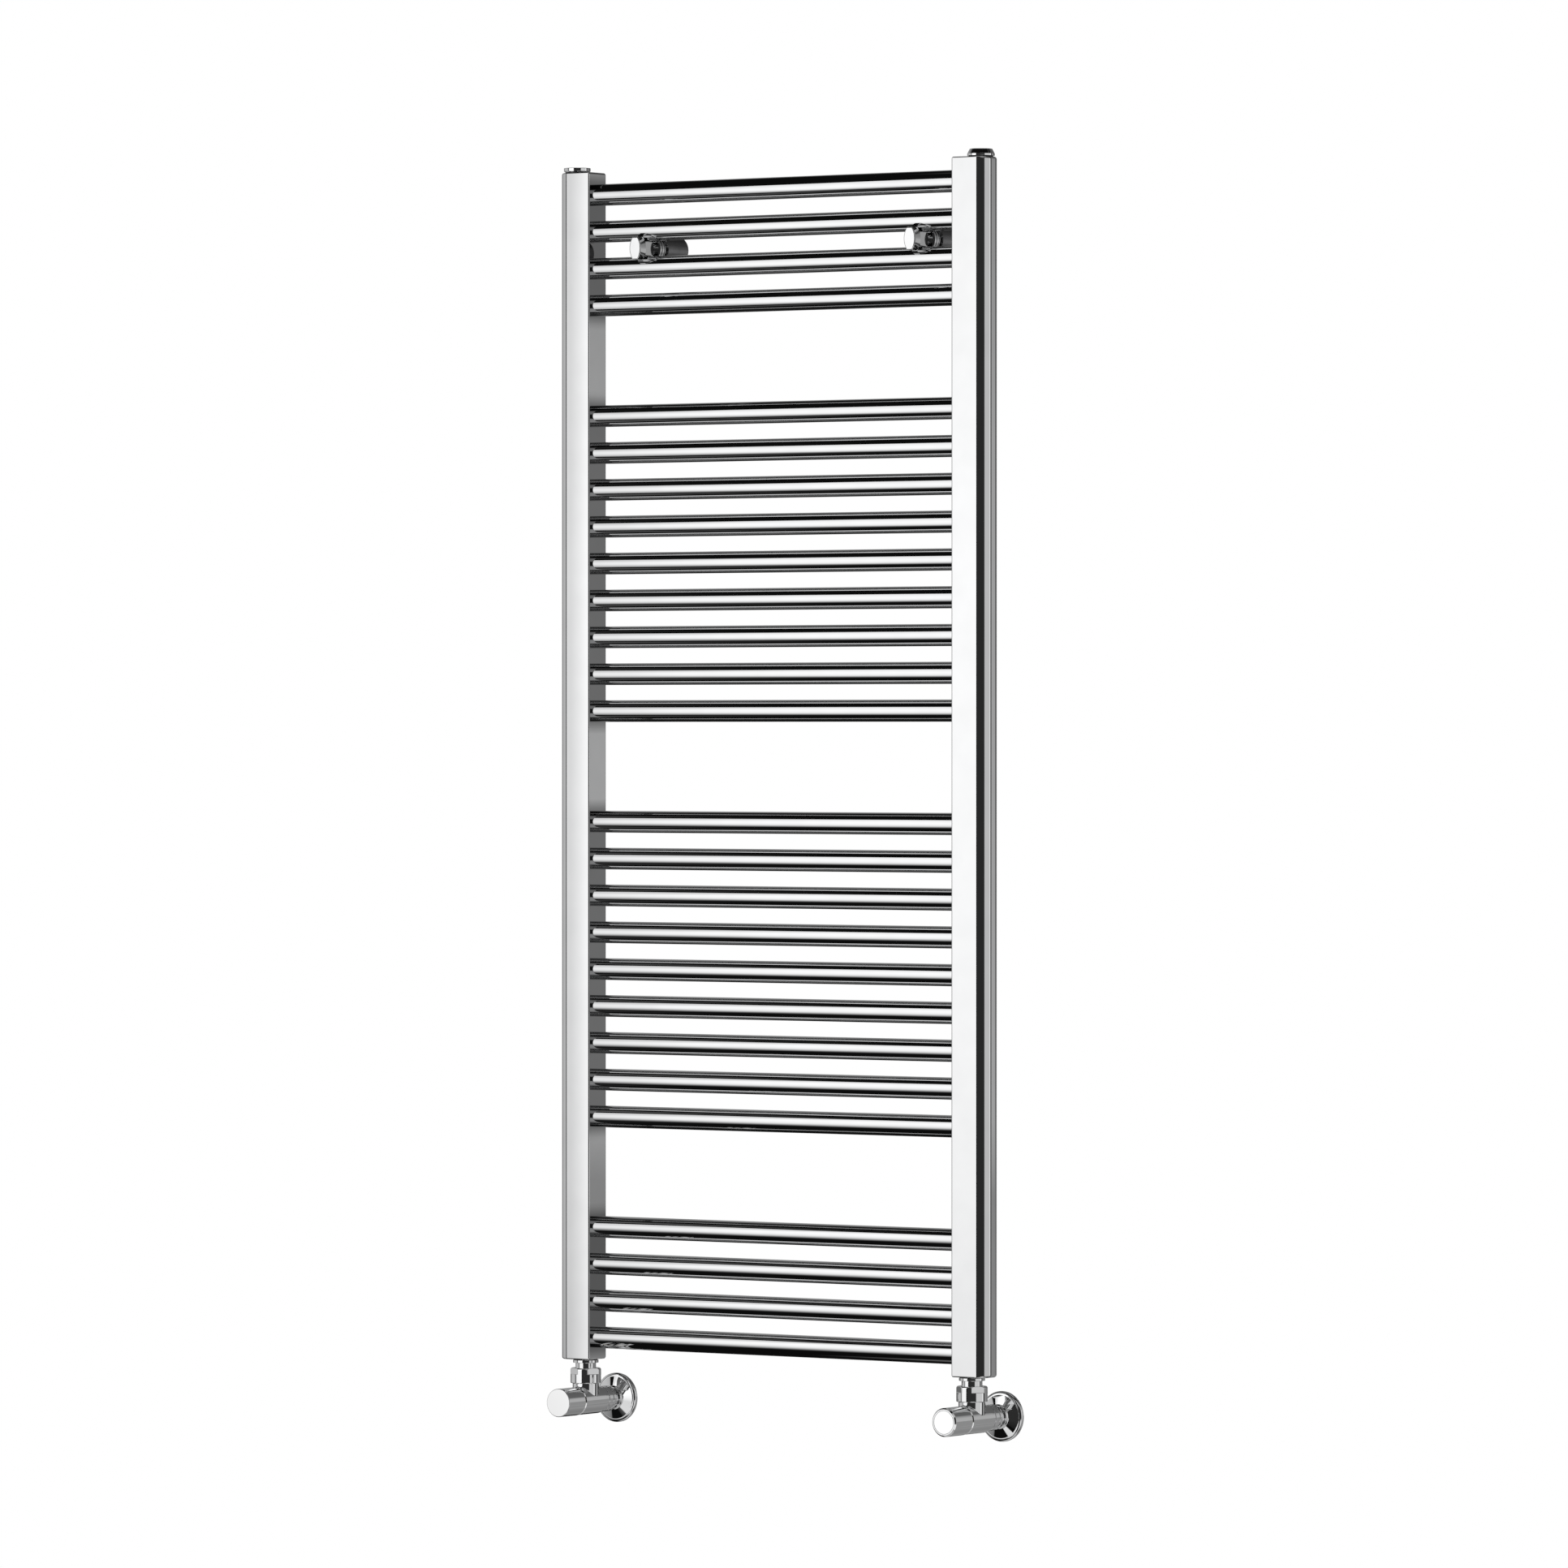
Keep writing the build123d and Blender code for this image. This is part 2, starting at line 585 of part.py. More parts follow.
def make_tailpiece(side):
    """Screwed tailpiece: thread, collar, neck and the flange that the union nut draws down."""
    collar_foot = -SEAL_THICKNESS - COLLAR_HEIGHT
    outline = [
        (WATERWAY_DIAMETER / 2, THREAD_LENGTH),
        (THREAD_DIAMETER / 2, THREAD_LENGTH),
        (THREAD_DIAMETER / 2, -SEAL_THICKNESS),
        (COLLAR_DIAMETER / 2, -SEAL_THICKNESS),
        (COLLAR_DIAMETER / 2, collar_foot),
        (NECK_DIAMETER / 2, collar_foot),
        (NECK_DIAMETER / 2, TAIL_FLANGE_TOP),
        (TAIL_FLANGE_DIAMETER / 2, TAIL_FLANGE_TOP),
        (TAIL_FLANGE_DIAMETER / 2, TAIL_FLANGE_TOP - TAIL_FLANGE_HEIGHT),
        (WATERWAY_DIAMETER / 2, TAIL_FLANGE_TOP - TAIL_FLANGE_HEIGHT),
    ]
    return turned_upright(socket_x(side), [(radius, HEADER_FOOT + z) for radius, z in outline])


def make_union_nuts():
    """Round nuts that hold each tailpiece down on its valve body, with four spanner flats at the top."""
    bore = NECK_DIAMETER / 2 + UNION_GAP
    cavity = NUT_CAVITY_DIAMETER / 2
    radius = NUT_DIAMETER / 2
    outline = [
        (bore, NUT_TOP),
        (radius - NUT_TOP_EDGE, NUT_TOP),
        (radius, NUT_TOP - NUT_TOP_EDGE),
        (radius, NUT_FOOT + NUT_FOOT_EDGE),
        (radius - NUT_FOOT_EDGE, NUT_FOOT),
        (cavity, NUT_FOOT),
        (cavity, NUT_TOP - NUT_LIP),
        (bore, NUT_TOP - NUT_LIP),
    ]
    nuts = []
    for name, side in SIDES.items():
        x = socket_x(side)
        with BuildPart() as nut:
            add(turned_upright(x, [(reach, HEADER_FOOT + z) for reach, z in outline]))
            with BuildSketch(Plane.XY.offset(HEADER_FOOT + NUT_TOP - NUT_FLAT_HEIGHT)):
                with Locations((x, AXIS_Y)):
                    Circle(NUT_DIAMETER)
                    Rectangle(NUT_SIZE, NUT_SIZE, rotation=NUT_TURNS[name], mode=Mode.SUBTRACT)
            extrude(amount=NUT_FLAT_HEIGHT, mode=Mode.SUBTRACT)
        nuts.append(nut.part)
    return Compound(children=nuts)


def make_valve_body(side):
    """Angle body: upright neck, level barrel, chamber, seat, pipe socket and pipe thread."""
    x = socket_x(side)
    radius = BODY_DIAMETER / 2
    seat_back = SEAT_PLACE + SEAT_THICKNESS
    thread_end = BODY_HALF + PIPE_THREAD_LENGTH
    with BuildPart() as valve_body:
        add(
            turned_level(
                x,
                VALVE_Z,
                [
                    (0, -BODY_HALF),
                    (radius - BODY_EDGE, -BODY_HALF),
                    (radius, -BODY_HALF + BODY_EDGE),
                    (radius, BODY_HALF - BODY_EDGE),
                    (radius - BODY_EDGE, BODY_HALF),
                    (PIPE_THREAD_DIAMETER / 2, BODY_HALF),
                    (PIPE_THREAD_DIAMETER / 2, thread_end),
                    (0, thread_end),
                ],
            )
        )
        with BuildSketch(Plane.XY.offset(VALVE_Z)):
            with Locations((x, AXIS_Y)):
                Circle(BODY_NECK_DIAMETER / 2)
        extrude(amount=SHOULDER_Z - VALVE_Z)
        saddle = valve_body.edges().filter_by(GeomType.BSPLINE)
        fillet(saddle, radius=BODY_BLEND)
        with BuildSketch(Plane.XY.offset(SHOULDER_Z)):
            with Locations((x, AXIS_Y)):
                Circle(TAIL_FLANGE_DIAMETER / 2)
        extrude(amount=HEADER_FOOT + SPIGOT_TOP - SHOULDER_Z)
        with BuildSketch(Plane.XY.offset(VALVE_Z)):
            with Locations((x, AXIS_Y)):
                Circle(WATERWAY_DIAMETER / 2)
        extrude(amount=HEADER_FOOT + SPIGOT_TOP - VALVE_Z, mode=Mode.SUBTRACT)
        add(
            turned_level(
                x,
                VALVE_Z,
                [
                    (0, -BODY_HALF),
                    (CHAMBER_DIAMETER / 2, -BODY_HALF),
                    (CHAMBER_DIAMETER / 2, SEAT_PLACE),
                    (SEAT_DIAMETER / 2, SEAT_PLACE),
                    (SEAT_DIAMETER / 2, seat_back),
                    (PIPE_BORE_RADIUS, seat_back),
                    (PIPE_BORE_RADIUS, thread_end),
                    (0, thread_end),
                ],
            ),
            mode=Mode.SUBTRACT,
        )
    return valve_body.part


def make_bonnet(side, grip):
    """Bonnet screwed into the front of the body; the lockshield's has a rim that its cap grips."""
    x = socket_x(side)
    thread_radius = CHAMBER_DIAMETER / 2 - THREAD_FIT
    recess = THRUST_DIAMETER / 2 + STEM_FIT
    outline = [(recess, -BODY_HALF + BONNET_LENGTH), (thread_radius, -BODY_HALF + BONNET_LENGTH)]
    outline.append((thread_radius, -BODY_HALF - FACE_GAP))
    outline.append((BONNET_FLANGE_DIAMETER / 2, -BODY_HALF - FACE_GAP))
    outline.append((BONNET_FLANGE_DIAMETER / 2, BONNET_FRONT))
    if grip:
        outline.append((GRIP_DIAMETER / 2, BONNET_FRONT))
        outline.append((GRIP_DIAMETER / 2, BONNET_FRONT - GRIP_LENGTH))
        outline.append((BONNET_HUB_DIAMETER / 2, BONNET_FRONT - GRIP_LENGTH))
    else:
        outline.append((BONNET_HUB_DIAMETER / 2, BONNET_FRONT))
    outline.append((BONNET_HUB_DIAMETER / 2, HUB_FRONT))
    outline.append((SPINDLE_DIAMETER / 2 + SPINDLE_FIT, HUB_FRONT))
    outline.append((SPINDLE_DIAMETER / 2 + SPINDLE_FIT, BONNET_FRONT))
    outline.append((recess, BONNET_FRONT))
    with BuildPart() as bonnet:
        add(turned_level(x, VALVE_Z, outline))
        with BuildSketch(cross_plane(x, VALVE_Z, -BODY_HALF + BONNET_LENGTH)):
            RegularPolygon(STEM_SIZE / 2 + STEM_FIT, 6, major_radius=False)
        extrude(amount=THRUST_BACK + BODY_HALF - BONNET_LENGTH, mode=Mode.SUBTRACT)
    return bonnet.part


def spindle_outline(front):
    """Outline of a spindle up to its front end: screw, thrust collar and shaft."""
    return [
        (0, THRUST_BACK + SCREW_LENGTH),
        (SCREW_DIAMETER / 2, THRUST_BACK + SCREW_LENGTH),
        (SCREW_DIAMETER / 2, THRUST_BACK),
        (THRUST_DIAMETER / 2, THRUST_BACK),
        (THRUST_DIAMETER / 2, THRUST_FRONT),
        (SPINDLE_DIAMETER / 2, THRUST_FRONT),
        (SPINDLE_DIAMETER / 2, front),
        (0, front),
    ]


def make_lockshield_spindle(side):
    """Spindle with a key socket in its front end, under the lockshield cap."""
    x = socket_x(side)
    front = HUB_FRONT - 2 * KNOB_GAP
    with BuildPart() as spindle:
        add(turned_level(x, VALVE_Z, spindle_outline(front)))
        with BuildSketch(cross_plane(x, VALVE_Z, front)):
            RegularPolygon(LOCK_KEY_SIZE / 2, 6, major_radius=False)
        extrude(amount=LOCK_KEY_DEPTH, mode=Mode.SUBTRACT)
    return spindle.part


def make_wheel_spindle(side):
    """Spindle with a hexagon end that carries the handwheel."""
    x = socket_x(side)
    with BuildPart() as spindle:
        add(turned_level(x, VALVE_Z, spindle_outline(HUB_FRONT)))
        with BuildSketch(cross_plane(x, VALVE_Z, HUB_FRONT)):
            RegularPolygon(DRIVE_SIZE / 2, 6, major_radius=False)
        extrude(amount=-DRIVE_LENGTH)
    return spindle.part


def make_valve_plug(side):
    """Valve plug: disc before the seat on a hexagon stem that slides in the bonnet."""
    x = socket_x(side)
    with BuildPart() as valve_plug:
        with BuildSketch(cross_plane(x, VALVE_Z, STEM_FRONT)):
            RegularPolygon(STEM_SIZE / 2, 6, major_radius=False)
        extrude(amount=STEM_BACK - STEM_FRONT)
        with BuildSketch(cross_plane(x, VALVE_Z, STEM_BACK)):
            Circle(DISC_DIAMETER / 2)
        extrude(amount=DISC_THICKNESS)
        with BuildSketch(cross_plane(x, VALVE_Z, STEM_FRONT)):
            Circle(SCREW_DIAMETER / 2 + SCREW_FIT)
        extrude(amount=SCREW_LENGTH + SCREW_END_GAP, mode=Mode.SUBTRACT)
    return valve_plug.part


def make_lockshield_cap(side):
    """Plain round cap that pushes over the lockshield bonnet's rim."""
    front = KNOB_BACK - CAP_LENGTH
    cavity = GRIP_DIAMETER / 2 + GRIP_FIT
    radius = KNOB_DIAMETER / 2
    outline = [
        (cavity, KNOB_BACK),
        (radius, KNOB_BACK),
        (radius, front + KNOB_EDGE),
        (radius - KNOB_EDGE, front),
        (0, front),
        (0, front + CAP_FRONT),
        (cavity, front + CAP_FRONT),
    ]
    return turned_level(socket_x(side), VALVE_Z, outline)


def make_handwheel(side):
    """Handwheel: skirt round the bonnet, hub on the spindle's hexagon, recess for the front disc."""
    x = socket_x(side)
    front = KNOB_BACK - WHEEL_LENGTH
    wall = front + WHEEL_FRONT
    radius = KNOB_DIAMETER / 2
    recess = INSET_DIAMETER / 2 + INSET_FIT
    hub_back = HUB_FRONT - KNOB_GAP
    with BuildPart() as handwheel:
        add(
            turned_level(
                x,
                VALVE_Z,
                [
                    (radius - WHEEL_SKIRT, KNOB_BACK),
                    (radius, KNOB_BACK),
                    (radius, front + WHEEL_CHAMFER),
                    (radius - WHEEL_CHAMFER, front),
                    (recess, front),
                    (recess, front + INSET_THICKNESS),
                    (0, front + INSET_THICKNESS),
                    (0, hub_back),
                    (WHEEL_HUB_DIAMETER / 2, hub_back),
                    (WHEEL_HUB_DIAMETER / 2, wall),
                    (radius - WHEEL_SKIRT, wall),
                ],
            )
        )
        with BuildSketch(cross_plane(x, VALVE_Z, hub_back)):
            RegularPolygon(DRIVE_SIZE / 2 + DRIVE_FIT, 6, major_radius=False)
        extrude(amount=-DRIVE_LENGTH, mode=Mode.SUBTRACT)
    return handwheel.part


def make_handwheel_disc(side):
    """Plain disc set flush into the handwheel's face."""
    front = KNOB_BACK - WHEEL_LENGTH
    radius = INSET_DIAMETER / 2
    outline = [
        (0, front + INSET_THICKNESS),
        (radius, front + INSET_THICKNESS),
        (radius, front + INSET_EDGE),
        (radius - INSET_EDGE, front),
        (0, front),
    ]
    return turned_level(socket_x(side), VALVE_Z, outline)


def make_pipe_nuts():
    """Round ringed nuts behind the bodies, with the tail that carries each rosette."""
    start = BODY_HALF + FACE_GAP
    end = start + PIPE_NUT_LENGTH
    thread_radius = PIPE_THREAD_DIAMETER / 2 + THREAD_FIT
    thread_end = BODY_HALF + PIPE_THREAD_LENGTH + UNION_GAP
    radius = PIPE_NUT_DIAMETER / 2
    root = radius - PIPE_NUT_GROOVE
    tail = AXIS_TO_WALL - PIPE_TAIL_FROM_WALL
    outline = [(thread_radius, start), (radius, start)]
    for place in PIPE_NUT_GROOVES:
        groove = start + place
        outline += [(radius, groove), (root, groove)]
        outline += [(root, groove + PIPE_NUT_GROOVE_WIDTH), (radius, groove + PIPE_NUT_GROOVE_WIDTH)]
    outline += [
        (radius, end),
        (PIPE_TAIL_DIAMETER / 2, end),
        (PIPE_TAIL_DIAMETER / 2, tail),
        (PIPE_BORE_RADIUS, tail),
        (PIPE_BORE_RADIUS, thread_end),
        (thread_radius, thread_end),
    ]
    nuts = [turned_level(socket_x(side), VALVE_Z, outline) for side in SIDES.values()]
    return Compound(children=nuts)


def make_rosette(side):
    """Wall rosette that slides on the pipe nut's tail: short neck, sloping face and rolled lip."""
    x = socket_x(side)
    slope = radians(ROSETTE_SLOPE)
    hole = PIPE_TAIL_DIAMETER / 2 + ROSETTE_FIT
    neck = hole + ROSETTE_SHELL
    face = ROSETTE_FACE_DIAMETER / 2
    rim = ROSETTE_DIAMETER / 2
    back_rim = rim - ROSETTE_SHELL
    front = AXIS_TO_WALL - ROSETTE_DEPTH
    bend = front + ROSETTE_NECK_LENGTH
    face_start = (neck + ROSETTE_BEND * (1 - sin(slope)), bend + ROSETTE_BEND * cos(slope))
    face_end = face_start[1] + (face - face_start[0]) * tan(slope)
    lip = face_end + ROSETTE_LIP
    behind = face_end + ROSETTE_SHELL / cos(slope)
    with BuildPart() as rosette:
        with BuildSketch(level_plane(x, VALVE_Z)):
            with BuildLine():
                Polyline((hole, front), (neck, front), (neck, bend))
                CenterArc((neck + ROSETTE_BEND, bend), ROSETTE_BEND, 180, ROSETTE_SLOPE - 90)
                Line(face_start, (face, face_end))
                EllipticalCenterArc((face, lip), rim - face, ROSETTE_LIP, 270, arc_size=90)
                Polyline((rim, lip), (rim, AXIS_TO_WALL), (back_rim, AXIS_TO_WALL), (back_rim, lip))
                Line((back_rim, lip), (face, behind))
                Line((face, behind), (hole, behind - (face - hole) * tan(slope)))
                Line((hole, behind - (face - hole) * tan(slope)), (hole, front))
            make_face()
        revolve(axis=Axis((x, AXIS_Y, VALVE_Z), (0, 1, 0)))
    return rosette.part


# Rail: headers, end caps, tubes, plugs and seals
for side_name, side_sign in SIDES.items():
    save(make_header(side_sign), f"header_{side_name}")
    save(make_end_cap(side_sign, 1), f"end_cap_{side_name}_top")
    save(make_end_cap(side_sign, -1), f"end_cap_{side_name}_foot")
for number, tube_height in enumerate(TUBE_HEIGHTS, start=1):
    save(make_tube(tube_height), f"tube_{number:02d}")
save(make_seals(), "seals")
save(make_vent_plug(SIDES["left"]), "vent_plug")
save(make_vent_screw(SIDES["left"]), "vent_screw")
save(make_blanking_plug(SIDES["right"]), "blanking_plug")

# Wall brackets
for side_name, side_sign in SIDES.items():
    bracket_x = side_sign * BRACKET_SPACING / 2
    save(make_front_clamp(bracket_x), f"front_clamp_{side_name}")
    save(make_rear_clamp(bracket_x), f"rear_clamp_{side_name}")
    save(make_wall_sleeve(bracket_x), f"wall_sleeve_{side_name}")
save(make_grub_screws(), "grub_screws")

# Valves
save(make_union_nuts(), "union_nuts")
save(make_pipe_nuts(), "pipe_nuts")
for side_name, side_sign in SIDES.items():
    save(make_tailpiece(side_sign), f"tailpiece_{side_name}")
    save(make_valve_body(side_sign), f"valve_body_{side_name}")
    save(make_bonnet(side_sign, side_name == "left"), f"bonnet_{side_name}")
    save(make_valve_plug(side_sign), f"valve_plug_{side_name}")
    save(make_rosette(side_sign), f"rosette_{side_name}")
save(make_lockshield_spindle(SIDES["left"]), "spindle_left")
save(make_wheel_spindle(SIDES["right"]), "spindle_right")
save(make_lockshield_cap(SIDES["left"]), "lockshield_cap")
save(make_handwheel(SIDES["right"]), "handwheel")
save(make_handwheel_disc(SIDES["right"]), "handwheel_disc")
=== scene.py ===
"""Looks of a chromed ladder towel radiator with a lockshield valve and a handwheel valve.

Metres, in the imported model's frame: the wall is the plane Y = 0, the front faces -Y and Z is up. Sizes of
the pieces are millimetres, and those of the finishes and the studio are metres.
"""

import logging
import math
from collections.abc import Sequence
from dataclasses import dataclass, field
from enum import Enum

import bpy
import numpy as np
from mathutils import Matrix, Vector


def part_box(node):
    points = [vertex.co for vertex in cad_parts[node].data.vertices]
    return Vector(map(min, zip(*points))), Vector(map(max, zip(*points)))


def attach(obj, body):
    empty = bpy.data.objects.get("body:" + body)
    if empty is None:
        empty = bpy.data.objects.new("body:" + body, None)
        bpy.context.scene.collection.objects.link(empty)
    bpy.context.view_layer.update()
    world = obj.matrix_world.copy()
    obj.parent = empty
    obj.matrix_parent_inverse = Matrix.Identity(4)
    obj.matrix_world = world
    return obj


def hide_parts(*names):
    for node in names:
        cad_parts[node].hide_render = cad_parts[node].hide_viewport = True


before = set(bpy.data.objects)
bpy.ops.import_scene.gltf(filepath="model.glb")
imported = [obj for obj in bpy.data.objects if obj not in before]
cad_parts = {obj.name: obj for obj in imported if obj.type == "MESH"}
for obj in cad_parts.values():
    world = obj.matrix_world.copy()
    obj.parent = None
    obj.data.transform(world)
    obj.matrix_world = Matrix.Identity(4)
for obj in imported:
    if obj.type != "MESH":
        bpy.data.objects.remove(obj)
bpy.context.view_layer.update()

LOG = logging.getLogger("towel_radiator")
MM = 0.001

Piece = bpy.types.Object
Ring = tuple[np.ndarray, np.ndarray]
Socket = bpy.types.NodeSocket
Step = tuple[np.ndarray, np.ndarray]
Stops = Sequence[tuple[float, float]]
Triple = tuple[float, float, float]


class Side(Enum):
    """The two ends of the rail, with the direction that points away from its middle."""

    LEFT = ("left", -1.0)
    RIGHT = ("right", 1.0)

    @property
    def label(self) -> str:
        """Word used in piece and node names."""
        return self.value[0]

    @property
    def outward(self) -> float:
        """Sign of X away from the rail's middle."""
        return self.value[1]


class TurnAxis(Enum):
    """Two directions across a turned piece, and the one that it is turned about."""

    UP = ((1, 0, 0), (0, 1, 0), (0, 0, 1))
    WALL = ((0, 0, 1), (1, 0, 0), (0, 1, 0))
    ACROSS = ((0, 1, 0), (0, 0, 1), (1, 0, 0))


class Round(Enum):
    """Steps in one round of a turned piece."""

    COARSE = 96
    PLAIN = 128
    FINE = 160


class Edge(float, Enum):
    """Roundings of turned edges in mm, from the sharpest to the softest."""

    TIGHT = 0.05
    PLAIN = 0.12
    CRISP = 0.15
    FINE = 0.2
    SLIGHT = 0.25
    EASED = 0.3
    MILD = 0.4
    SOFT = 0.5
    FULL = 0.7


@dataclass(frozen=True)
class Corner:
    """One corner of a turned outline, in mm.

    A rounding of None marks a point of a smooth curve.
    """

    radius: float
    reach: float
    rounding: float | None = Edge.PLAIN


@dataclass
class Skin:
    """Vertices, faces and exact normals of one piece, collected before its mesh is made."""

    points: list[np.ndarray] = field(default_factory=list)
    normals: list[np.ndarray] = field(default_factory=list)
    faces: list[tuple[int, ...]] = field(default_factory=list)
    count: int = 0

    def add(self, points: np.ndarray, normals: np.ndarray, faces: Sequence[tuple[int, ...]]) -> None:
        """Add a patch.

        Args:
            points: Places in metres, one row each.
            normals: Outward directions, one row each.
            faces: Corners of each face, counted within this patch.
        """
        self.points.append(points)
        self.normals.append(normals)
        self.faces.extend(tuple(i + self.count for i in face) for face in faces)
        self.count += len(points)

    def band(self, rows: Sequence[Ring]) -> None:
        """Add a band of quads through closed rings.

        Args:
            rows: Points in metres and outward normals of each ring, all with as many points.
        """
        width = len(rows[0][0])
        faces = []
        for row in range(len(rows) - 1):
            low, high = row * width, (row + 1) * width
            for j in range(width):
                k = (j + 1) % width
                faces.append((low + j, low + k, high + k, high + j))
        self.add(np.vstack([points for points, _ in rows]), np.vstack([slopes for _, slopes in rows]), faces)

    def make(self, name: str) -> Piece:
        """Make the mesh object.

        Args:
            name: Name of the piece.

        Returns:
            The object, linked to the scene and smooth with its exact normals.
        """
        mesh = bpy.data.meshes.new(name)
        mesh.from_pydata(np.vstack(self.points).tolist(), [], self.faces)
        mesh.polygons.foreach_set("use_smooth", [True] * len(mesh.polygons))
        normals = np.vstack(self.normals)
        normals /= np.linalg.norm(normals, axis=1, keepdims=True)
        mesh.normals_split_custom_set_from_vertices(normals.tolist())
        piece = bpy.data.objects.new(name, mesh)
        bpy.context.scene.collection.objects.link(piece)
        return piece


@dataclass
class Outline:
    """Section of a turned piece: rounded corners in order, in mm out from the axis and along it."""

    corners: Sequence[Corner]
    closed: bool = True
    arc_step: float = 9.0
    side_share: float = 0.49
    least_turn: float = 1e-4
    least_radius: float = 1e-6

    def _oriented(self) -> list[Corner]:
        """Put the corners in the order that keeps the material on the left of the way round.

        Returns:
            The corners, as given or reversed.
        """
        corners = list(self.corners)
        area = 0.0
        for here, there in zip(corners, corners[1:] + corners[:1]):
            area += here.radius * there.reach - there.radius * here.reach
        return corners if area > 0 else corners[::-1]

    def _bend(
        self, before: np.ndarray, here: np.ndarray, after: np.ndarray, rounding: float | None
    ) -> list[Step]:
        """Round one corner.

        Args:
            before: Corner before it in the section.
            here: The corner.
            after: Corner after it.
            rounding: Radius of its rounding in mm, or None on a smooth curve.

        Returns:
            Point and outward normal of each step round the corner.
        """
        back, ahead = here - before, after - here
        start = math.atan2(back[1], back[0])
        turn = math.atan2(
            back[0] * ahead[1] - back[1] * ahead[0], back[0] * ahead[0] + back[1] * ahead[1]
        )
        if rounding is None or abs(turn) < self.least_turn:
            middle = start + turn / 2
            return [(here, np.array((math.sin(middle), -math.cos(middle))))]
        length = np.linalg.norm(back)
        room = self.side_share * min(length, np.linalg.norm(ahead))
        slope = math.tan(abs(turn) / 2)
        radius = min(rounding, room / slope)
        first = here - back / length * radius * slope
        lean = math.copysign(radius, turn)
        centre = first + lean * np.array((-math.sin(start), math.cos(start)))
        steps = max(2, math.ceil(math.degrees(abs(turn)) / self.arc_step))
        bend = []
        for step in range(steps + 1):
            heading = start + turn * step / steps
            normal = np.array((math.sin(heading), -math.cos(heading)))
            bend.append((centre + lean * normal, normal))
        return bend

    def trace(self) -> list[Step]:
        """Follow the outline with its roundings.

        Returns:
            Point and outward normal of each step, in the section.
        """
        corners = self._oriented()
        places = [np.array((corner.radius, corner.reach)) for corner in corners]
        total = len(corners)
        steps = []
        for i, corner in enumerate(corners):
            if self.closed or 0 < i < total - 1:
                steps += self._bend(places[i - 1], places[i], places[(i + 1) % total], corner.rounding)
                continue
            along = places[1] - places[0] if i == 0 else places[-1] - places[-2]
            steps.append((places[i], np.array((along[1], -along[0])) / np.linalg.norm(along)))
        return steps

    def turn(
        self, skin: Skin, axis: TurnAxis, origin: Sequence[float], steps: Round = Round.PLAIN
    ) -> None:
        """Turn the outline about an axis and add it to a skin.

        Args:
            skin: Skin that takes the patch.
            axis: Direction of the axis.
            origin: Point on the axis where the reach is 0, in metres.
            steps: Steps in one round.
        """
        out_a, out_b, along = (np.array(v, float) for v in axis.value)
        count = steps.value
        angles = np.arange(count) * 2 * math.pi / count
        rays = np.cos(angles)[:, None] * out_a + np.sin(angles)[:, None] * out_b
        points, normals, rings = [], [], []
        first = 0
        for (radius, reach), (out, lift) in self.trace():
            centre = np.array(origin) + along * reach * MM
            if radius < self.least_radius:
                points.append(centre[None, :])
                normals.append(along[None, :] * (1.0 if lift >= 0 else -1.0))
                rings.append([first] * count)
            else:
                points.append(centre + rays * radius * MM)
                normals.append(rays * out + along * lift)
                rings.append(list(range(first, first + count)))
            first += len(points[-1])
        faces = []
        pairs = list(zip(rings, rings[1:]))
        if self.closed:
            pairs.append((rings[-1], rings[0]))
        for low, high in pairs:
            for j in range(count):
                k = (j + 1) % count
                face = tuple(dict.fromkeys((low[j], low[k], high[k], high[j])))
                if len(face) > 2:
                    faces.append(face)
        skin.add(np.vstack(points), np.vstack(normals), faces)

    def piece(
        self, name: str, axis: TurnAxis, origin: Sequence[float], steps: Round = Round.PLAIN
    ) -> Piece:
        """Turn the outline into a piece of its own.

        Args:
            name: Name of the piece.
            axis: Direction of the axis.
            origin: Point on the axis where the reach is 0, in metres.
            steps: Steps in one round.

        Returns:
            The new piece.
        """
        skin = Skin()
        self.turn(skin, axis, origin, steps)
        return skin.make(name)


class NodeMaker:
    """A node tree with short ways to add nodes."""

    def __init__(self, tree: bpy.types.NodeTree) -> None:
        """Start with the tree emptied."""
        self.tree = tree
        self.tree.nodes.clear()

    def node(self, kind: str, inputs: dict | None = None, **options: object) -> bpy.types.Node:
        """Add a node.

        Args:
            kind: Blender's name of the node type.
            inputs: Values, or sockets to link from, by input name or number.
            options: Properties of the node.

        Returns:
            The new node.
        """
        made = self.tree.nodes.new(kind)
        for key, value in options.items():
            setattr(made, key, value)
        for key, value in (inputs or {}).items():
            if isinstance(value, Socket):
                self.tree.links.new(value, made.inputs[key])
            else:
                made.inputs[key].default_value = value
        return made

    def math(self, operation: str, *values: object) -> Socket:
        """Result of a math node with numbers or sockets as its values."""
        return self.node("ShaderNodeMath", dict(enumerate(values)), operation=operation).outputs[0]


